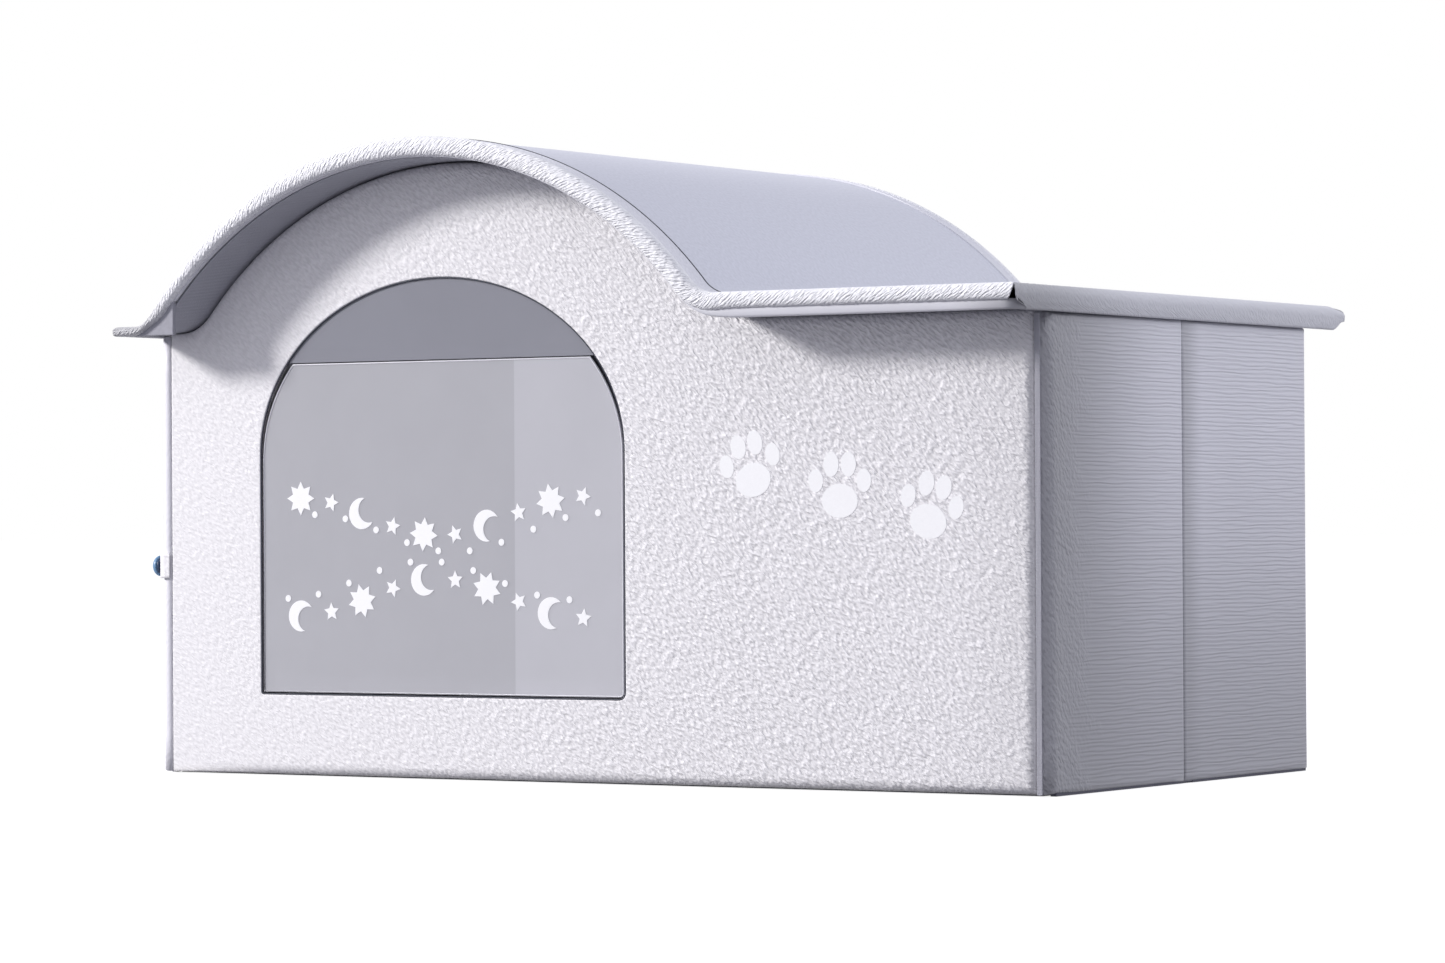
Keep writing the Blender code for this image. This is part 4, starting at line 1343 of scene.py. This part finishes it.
def makePrints():
    tree = stampTree()
    places = {kind: [] for kind in ("big", "small", "moon", "dot")}
    most, pace = filmPrint["lean"]
    for i in range(filmPrint["columns"]):
        share = i / (filmPrint["columns"] - 1)
        x = door["x"] + (share - 0.5) * filmPrint["width"]
        sway = filmPrint["sway"] * math.cos(2 * math.pi * share)
        for row, z in enumerate(filmPrint["rows"]):
            z += sway * (1 - 2 * row)
            kind = ("big", "small", "moon", "small")[(i + 2 * row) % 4]
            places[kind].append((x, z, filmPrint[kind], most * math.sin(pace * i + row)))
            right, up = filmPrint["dotShifts"][row]
            places["dot"].append((x + right, z + up, filmPrint["dot"], 0.0))
    for name, shapes, marks in (
        ("filmStars", [starShape(8, 0.62)], places["big"]),
        ("filmSparks", [starShape(5, 0.48)], places["small"]),
        ("filmMoons", [moonShape()], places["moon"]),
        ("filmDots", [ovalShape(0, 0, 0.5, 0.5, 16)], places["dot"]),
    ):
        stampMarks(tree, name, shapes, marks, flapBox[0].y, "door_flap", "tinted_film")
    paws = []
    for i in (-1, 0, 1):
        place = [wallPrint[axis] + i * step for axis, step in zip("xz", wallPrint["step"])]
        paws.append((*place, wallPrint["size"], wallPrint["lean"] * i))
    shapes = [ovalShape(*oval) for oval in pawOvals]
    stampMarks(tree, "wallPaws", shapes, paws, house["frontY"], "front_wall", "leatherette")
    print("prints stamped")


makePrints()


# hinge tapes

tapes = {"thick": 0.0008, "leg": 0.018, "round": 0.0015, "gap": 0.0003, "points": 8, "bendPoints": 7,
         "creaseThick": 0.0005, "creasePoints": 16, "creaseBend": 0.002}


def bentStrip(name, section, place, low, high, thickness, rows=30):
    bm = bmesh.new()
    fillGrid(bm, [[bm.verts.new(place(u, v, w)) for u, v in section] for w in line(low, high, rows)])
    finishFaces(bm)
    layUV(bm)
    obj = newPiece(name, bm, finishes["tape"])
    thicken(obj, thickness, 0.0)
    applyLast(obj)
    return obj


def upright(u, v, w):
    return u, v, w


def makeCornerTapes():
    leg, radius, half = tapes["leg"], tapes["round"], tapes["thick"] / 2
    for side, end in ((1, 1), (1, -1), (-1, 1), (-1, -1)):
        words = cornerWords(side, end)
        node, stem = words + "_corner_tape", camelName(words) + "Tape"
        wallBody, leafBody = "rear_wall" if end > 0 else "front_wall", words + "_leaf"
        low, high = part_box(node)
        x, y = side * (house["innerX"] - tapes["gap"] - half), end * (house["rearBack"] - tapes["gap"] - half)
        onEnd = [(u, y) for u in line(x - side * leg, x - side * radius, tapes["points"])]
        onLeaf = [(x, v) for v in line(y - end * radius, y - end * leg, tapes["points"])]
        # that corner's linkage is open, so its tape is in two halves
        if words == "left_front":
            for part, points, body in (("Wall", onEnd, wallBody), ("Leaf", onLeaf, leafBody)):
                obj = bentStrip(stem + part, points, upright, low.z, high.z, tapes["thick"])
                settle(obj, body, "hinge_tape", node)
            continue
        section = onEnd + quarter(x, y, -side * radius, -end * radius, tapes["bendPoints"]) + onLeaf
        obj = bentStrip(stem, section, upright, low.z, high.z, tapes["thick"])
        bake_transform(obj)
        dress(obj, "hinge_tape", node)


def makeOtherTapes():
    radius, half, bend = tapes["round"], tapes["thick"] / 2, tapes["creaseBend"]
    for words in ("right", "left"):
        low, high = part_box(words + "_crease_tape")
        x = (low.x + high.x) / 2
        points = [(x, v) for v in line(low.y, high.y, tapes["creasePoints"])]
        obj = bentStrip(words + "CreaseTape", points, upright, low.z, high.z, tapes["creaseThick"])
        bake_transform(obj)
        dress(obj, "hinge_tape", words + "_crease_tape")
    low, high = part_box("roof_hinge_tape")
    y, z = low.y + half, high.z - half
    section = [(y, v) for v in line(low.z, z - radius, tapes["points"])]
    section += quarter(y, z, radius, -radius, tapes["bendPoints"])[::-1]
    section += [(u, z) for u in line(y + radius, high.y, tapes["points"])]
    obj = bentStrip("roofHingeTape", section, lambda u, v, w: (w, u, v), low.x, high.x, tapes["thick"])
    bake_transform(obj)
    dress(obj, "hinge_tape", "roof_hinge_tape")
    print("hinge tapes made")


makeCornerTapes()
makeOtherTapes()


# press stud and closure tab

def turnedPiece(name, profile, centre, material, sides=48):
    bm = bmesh.new()
    rings = []
    for radius, height in profile:
        count = sides if radius > 0 else 1
        turns = [2 * math.pi * i / count for i in range(count)]
        places = [(-height, radius * math.cos(a), radius * math.sin(a)) for a in turns]
        rings.append([bm.verts.new(Vector(centre) + Vector(place)) for place in places])
    for ring, other in zip(rings, rings[1:]):
        for i in range(sides):
            corners = [ring[i % len(ring)], ring[(i + 1) % len(ring)]]
            corners += [other[(i + 1) % len(other)], other[i % len(other)]]
            bm.faces.new(list(dict.fromkeys(corners)))
    finishFaces(bm)
    obj = newPiece(name, bm, material)
    sharpen(obj, 50)
    return obj


snap = {"wider": 1.15, "taller": 0.0016, "domeEdge": 0.0009, "domeFoot": 0.0003, "domeFacets": 14,
        "edge": 0.0004, "tabHalf": 0.0004, "tabBend": 0.0080, "tabLeg": 0.003, "tabRows": 12}


# (radius, height) from the foot up
def studProfile(radius, height, dome):
    if dome:
        edge, foot = snap["domeEdge"], snap["domeFoot"]
        height += snap["taller"]
        arc = ovalArc((0, edge), radius, height - edge, 0, math.pi / 2, snap["domeFacets"])[:-1]
        return [(0, 0), (radius - foot, 0), (radius, foot), *arc, (0, height)]
    edge = snap["edge"]
    inner = radius - edge
    return [(0, 0), (inner, 0), (radius, edge), (radius, height - edge), (inner, height), (0, height)]


def makeSnap():
    for name, node, finish, slotName, body in (
        ("snapCap", "snap_cap", "cap", "blue_cap", "closure_tab"),
        ("snapBase", "snap_base", "capBase", "navy_base", "closure_tab"),
        ("snapStud", "snap_stud", "stud", "stud_metal", "left_front_leaf"),
    ):
        low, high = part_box(node)
        profile = studProfile((high.y - low.y) / 2 * snap["wider"], high.x - low.x, name == "snapCap")
        centre = (high.x, (low.y + high.y) / 2, (low.z + high.z) / 2)
        settle(turnedPiece(name, profile, centre, finishes[finish]), body, slotName, node)
    low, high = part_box("closure_tab")
    half, bend = snap["tabHalf"], snap["tabBend"]
    x, y = low.x + half, low.y + half
    section = [(u, y) for u in line(max(high.x, x + bend + snap["tabLeg"]), x + bend, 7)]
    section += quarter(x, y, bend, bend, 8)
    section += [(x, v) for v in line(y + bend, high.y, 9)]
    obj = bentStrip("closureTab", section, upright, low.z, high.z, 2 * half, snap["tabRows"])
    obj.data.materials[0] = finishes["wall"]
    settle(obj, "closure_tab", "leatherette", "closure_tab")
    print("closure tab made")


makeSnap()


# base cloth and cushion; keep is their share of the depth at the fold's limit, where they would be taken out

baseCloth = {"thick": 0.0011, "columns": 60, "rows": 32, "keep": 0.006}


def makeBaseCloth():
    low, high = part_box("base_cloth")
    bm = bmesh.new()
    across, back = line(low.x, high.x, baseCloth["columns"]), line(low.y, high.y, baseCloth["rows"])
    fillGrid(bm, [[bm.verts.new((x, y, high.z)) for x in across] for y in back])
    bmesh.ops.recalc_face_normals(bm, faces=bm.faces[:])
    if bm.faces[:][0].normal.z < 0:
        bmesh.ops.reverse_faces(bm, faces=bm.faces[:])
    layUV(bm)
    obj = newPiece("baseSheet", bm, finishes["base"])
    thicken(obj, baseCloth["thick"], -1.0)
    applyLast(obj)
    settle(obj, "rear_wall", "base_cloth", "base_cloth")
    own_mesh(obj)
    print("base cloth laid")


makeBaseCloth()

cushion = {"shrink": 0.006, "voxel": 0.006, "pressure": 4.0, "frames": 20, "most": 0.010, "fill": 0.6,
           "keep": 0.006}


def makeCushion():
    low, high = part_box("floor_cushion")
    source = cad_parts["floor_cushion"]
    bm = bmesh.new()
    bm.from_mesh(source.data)
    bmesh.ops.remove_doubles(bm, verts=bm.verts[:], dist=1e-5)
    middle = (low + high) / 2
    for vert in bm.verts:
        for axis in (0, 1):
            half, away = (high[axis] - low[axis]) / 2, vert.co[axis] - middle[axis]
            vert.co[axis] = middle[axis] + away * (half - cushion["shrink"]) / half
        vert.co.z = low.z + (vert.co.z - low.z) * (1 - 2 * cushion["shrink"] / (high.z - low.z))
    obj = newPiece("floorCushion", bm, finishes["cushion"])
    remesh = obj.modifiers.new("remesh", "REMESH")
    remesh.mode = "VOXEL"
    remesh.voxel_size = cushion["voxel"]
    applyLast(obj)
    inflate(obj, low.z)
    for polygon in obj.data.polygons:
        polygon.use_smooth = True
    settle(obj, "rear_wall", "cushion_cloth", "floor_cushion")
    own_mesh(obj)
    print("cushion filled")


def inflate(obj, floor):
    scene = bpy.context.scene
    start = [vert.co.copy() for vert in obj.data.vertices]
    modifier = obj.modifiers.new("fill", "CLOTH")
    modifier.settings.use_pressure = True
    modifier.settings.uniform_pressure_force = cushion["pressure"]
    modifier.settings.effector_weights.gravity = 0
    modifier.point_cache.frame_start, modifier.point_cache.frame_end = 1, cushion["frames"]
    for step in range(1, cushion["frames"] + 1):
        scene.frame_set(step)
    graph = bpy.context.evaluated_depsgraph_get()
    mesh = bpy.data.meshes.new_from_object(obj.evaluated_get(graph), depsgraph=graph)
    obj.modifiers.remove(modifier)
    for vert, at in zip(mesh.vertices, start):
        move = vert.co - at
        if move.length > cushion["most"]:
            vert.co = at + move * (cushion["most"] / move.length)
        vert.co.z = max(vert.co.z, floor)
    obj.data = mesh
    scene.frame_set(1)


makeCushion()

# carried-over nodes keep their meshes and get a finish
for name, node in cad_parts.items():
    # the side linings take the darker lining copy, as painted shade
    finish = "board" if name.endswith("_board") else "hook" if name.endswith("_strip") else "sideLining"
    node.data.materials.clear()
    node.data.materials.append(finishes[finish])


# floor, lights and camera

stage = {"half": 40.0, "below": 0.0004, "glow": 0.84, "shown": (0.34, 0.34, 0.34, 1),
         "bounce": (0.24, 0.24, 0.26, 1), "sky": (0.54, 0.78), "skyColour": (0.95, 0.96, 1.10, 1),
         "white": (1, 1, 1, 1)}


# 1 where the camera sees it, also by a mirror or through the film
def seenDirectly(tree):
    path = put(tree, "ShaderNodeLightPath").outputs
    deep = mathNode(tree, "MAXIMUM", path["Is Glossy Ray"], path["Is Transmission Ray"])
    return mathNode(tree, "MAXIMUM", path["Is Camera Ray"], deep)


def makeStage():
    bm = bmesh.new()
    half = stage["half"]
    bm.faces.new([bm.verts.new((x, y, 0)) for x, y in rectangle(-half, -half, half, half)])
    floor = newPiece("floor", bm)
    floor.location.z = -stage["below"]
    material = bpy.data.materials.new("paleFloor")
    material.use_nodes = True
    tree = material.node_tree
    tree.nodes.clear()
    output = tree.nodes.new("ShaderNodeOutputMaterial")
    bounce = put(tree, "ShaderNodeBsdfDiffuse", {"Color": stage["bounce"]}).outputs[0]
    pale = put(tree, "ShaderNodeBsdfDiffuse", {"Color": stage["shown"]}).outputs[0]
    glow = put(tree, "ShaderNodeEmission", {"Color": stage["white"], "Strength": stage["glow"]}).outputs[0]
    shown = put(tree, "ShaderNodeAddShader", {0: pale, 1: glow}).outputs[0]
    mix = put(tree, "ShaderNodeMixShader", {0: seenDirectly(tree), 1: bounce, 2: shown}).outputs[0]
    tree.links.new(mix, output.inputs["Surface"])
    floor.data.materials.append(material)


def makeWorld():
    world = bpy.data.worlds.new("studio")
    bpy.context.scene.world = world
    world.use_nodes = True
    tree = world.node_tree
    tree.nodes.clear()
    output = tree.nodes.new("ShaderNodeOutputWorld")
    height = separate(tree, put(tree, "ShaderNodeTexCoord").outputs["Generated"])["Z"]
    level = remap(tree, height, 0.0, 1.0, *stage["sky"])
    light = put(tree, "ShaderNodeBackground", {"Color": stage["skyColour"], "Strength": level}).outputs[0]
    white = put(tree, "ShaderNodeBackground", {"Color": stage["white"], "Strength": 1.0}).outputs[0]
    mix = put(tree, "ShaderNodeMixShader", {0: seenDirectly(tree), 1: light, 2: white}).outputs[0]
    tree.links.new(mix, output.inputs["Surface"])


# name, place, target, size, power, colour
lamps = (
    ("keyLight", (-6.48, -4.78, 3.53), (0.0, -0.15, 0.20), 1.6, 740.0, (1.0, 0.98, 0.98)),
    ("fillLight", (1.50, 0.75, 1.50), (0.30, 0.0, 0.20), 1.0, 7.0, (0.95, 0.97, 1.0)),
)


def makeLamps():
    for name, place, target, size, power, colour in lamps:
        light = bpy.data.lights.new(name, "AREA")
        light.shape = "DISK"
        light.size = size
        light.energy = power
        light.color = colour
        obj = bpy.data.objects.new(name, light)
        obj.location = place
        obj.rotation_euler = (Vector(place) - Vector(target)).to_track_quat("Z", "Y").to_euler()
        bpy.context.scene.collection.objects.link(obj)


view = {"place": (2.1424, -3.3896, 0.2032), "yaw": 32.36, "pitch": 0.44, "roll": -0.32, "lens": 123.7,
        "sensor": 36.0}


def makeCamera():
    data = bpy.data.cameras.new("camera")
    data.sensor_width = view["sensor"]
    data.lens = view["lens"]
    obj = bpy.data.objects.new("camera", data)
    bpy.context.scene.collection.objects.link(obj)
    turn = Matrix.Rotation(math.radians(view["yaw"]), 4, "Z")
    tilt = Matrix.Rotation(math.radians(90 + view["pitch"]), 4, "X")
    roll = Matrix.Rotation(math.radians(view["roll"]), 4, "Z")
    obj.matrix_world = Matrix.Translation(view["place"]) @ turn @ tilt @ roll
    bpy.context.scene.camera = obj


makeStage()
makeWorld()
makeLamps()
makeCamera()
bpy.context.scene.view_settings.view_transform = "Standard"
print("stage set")
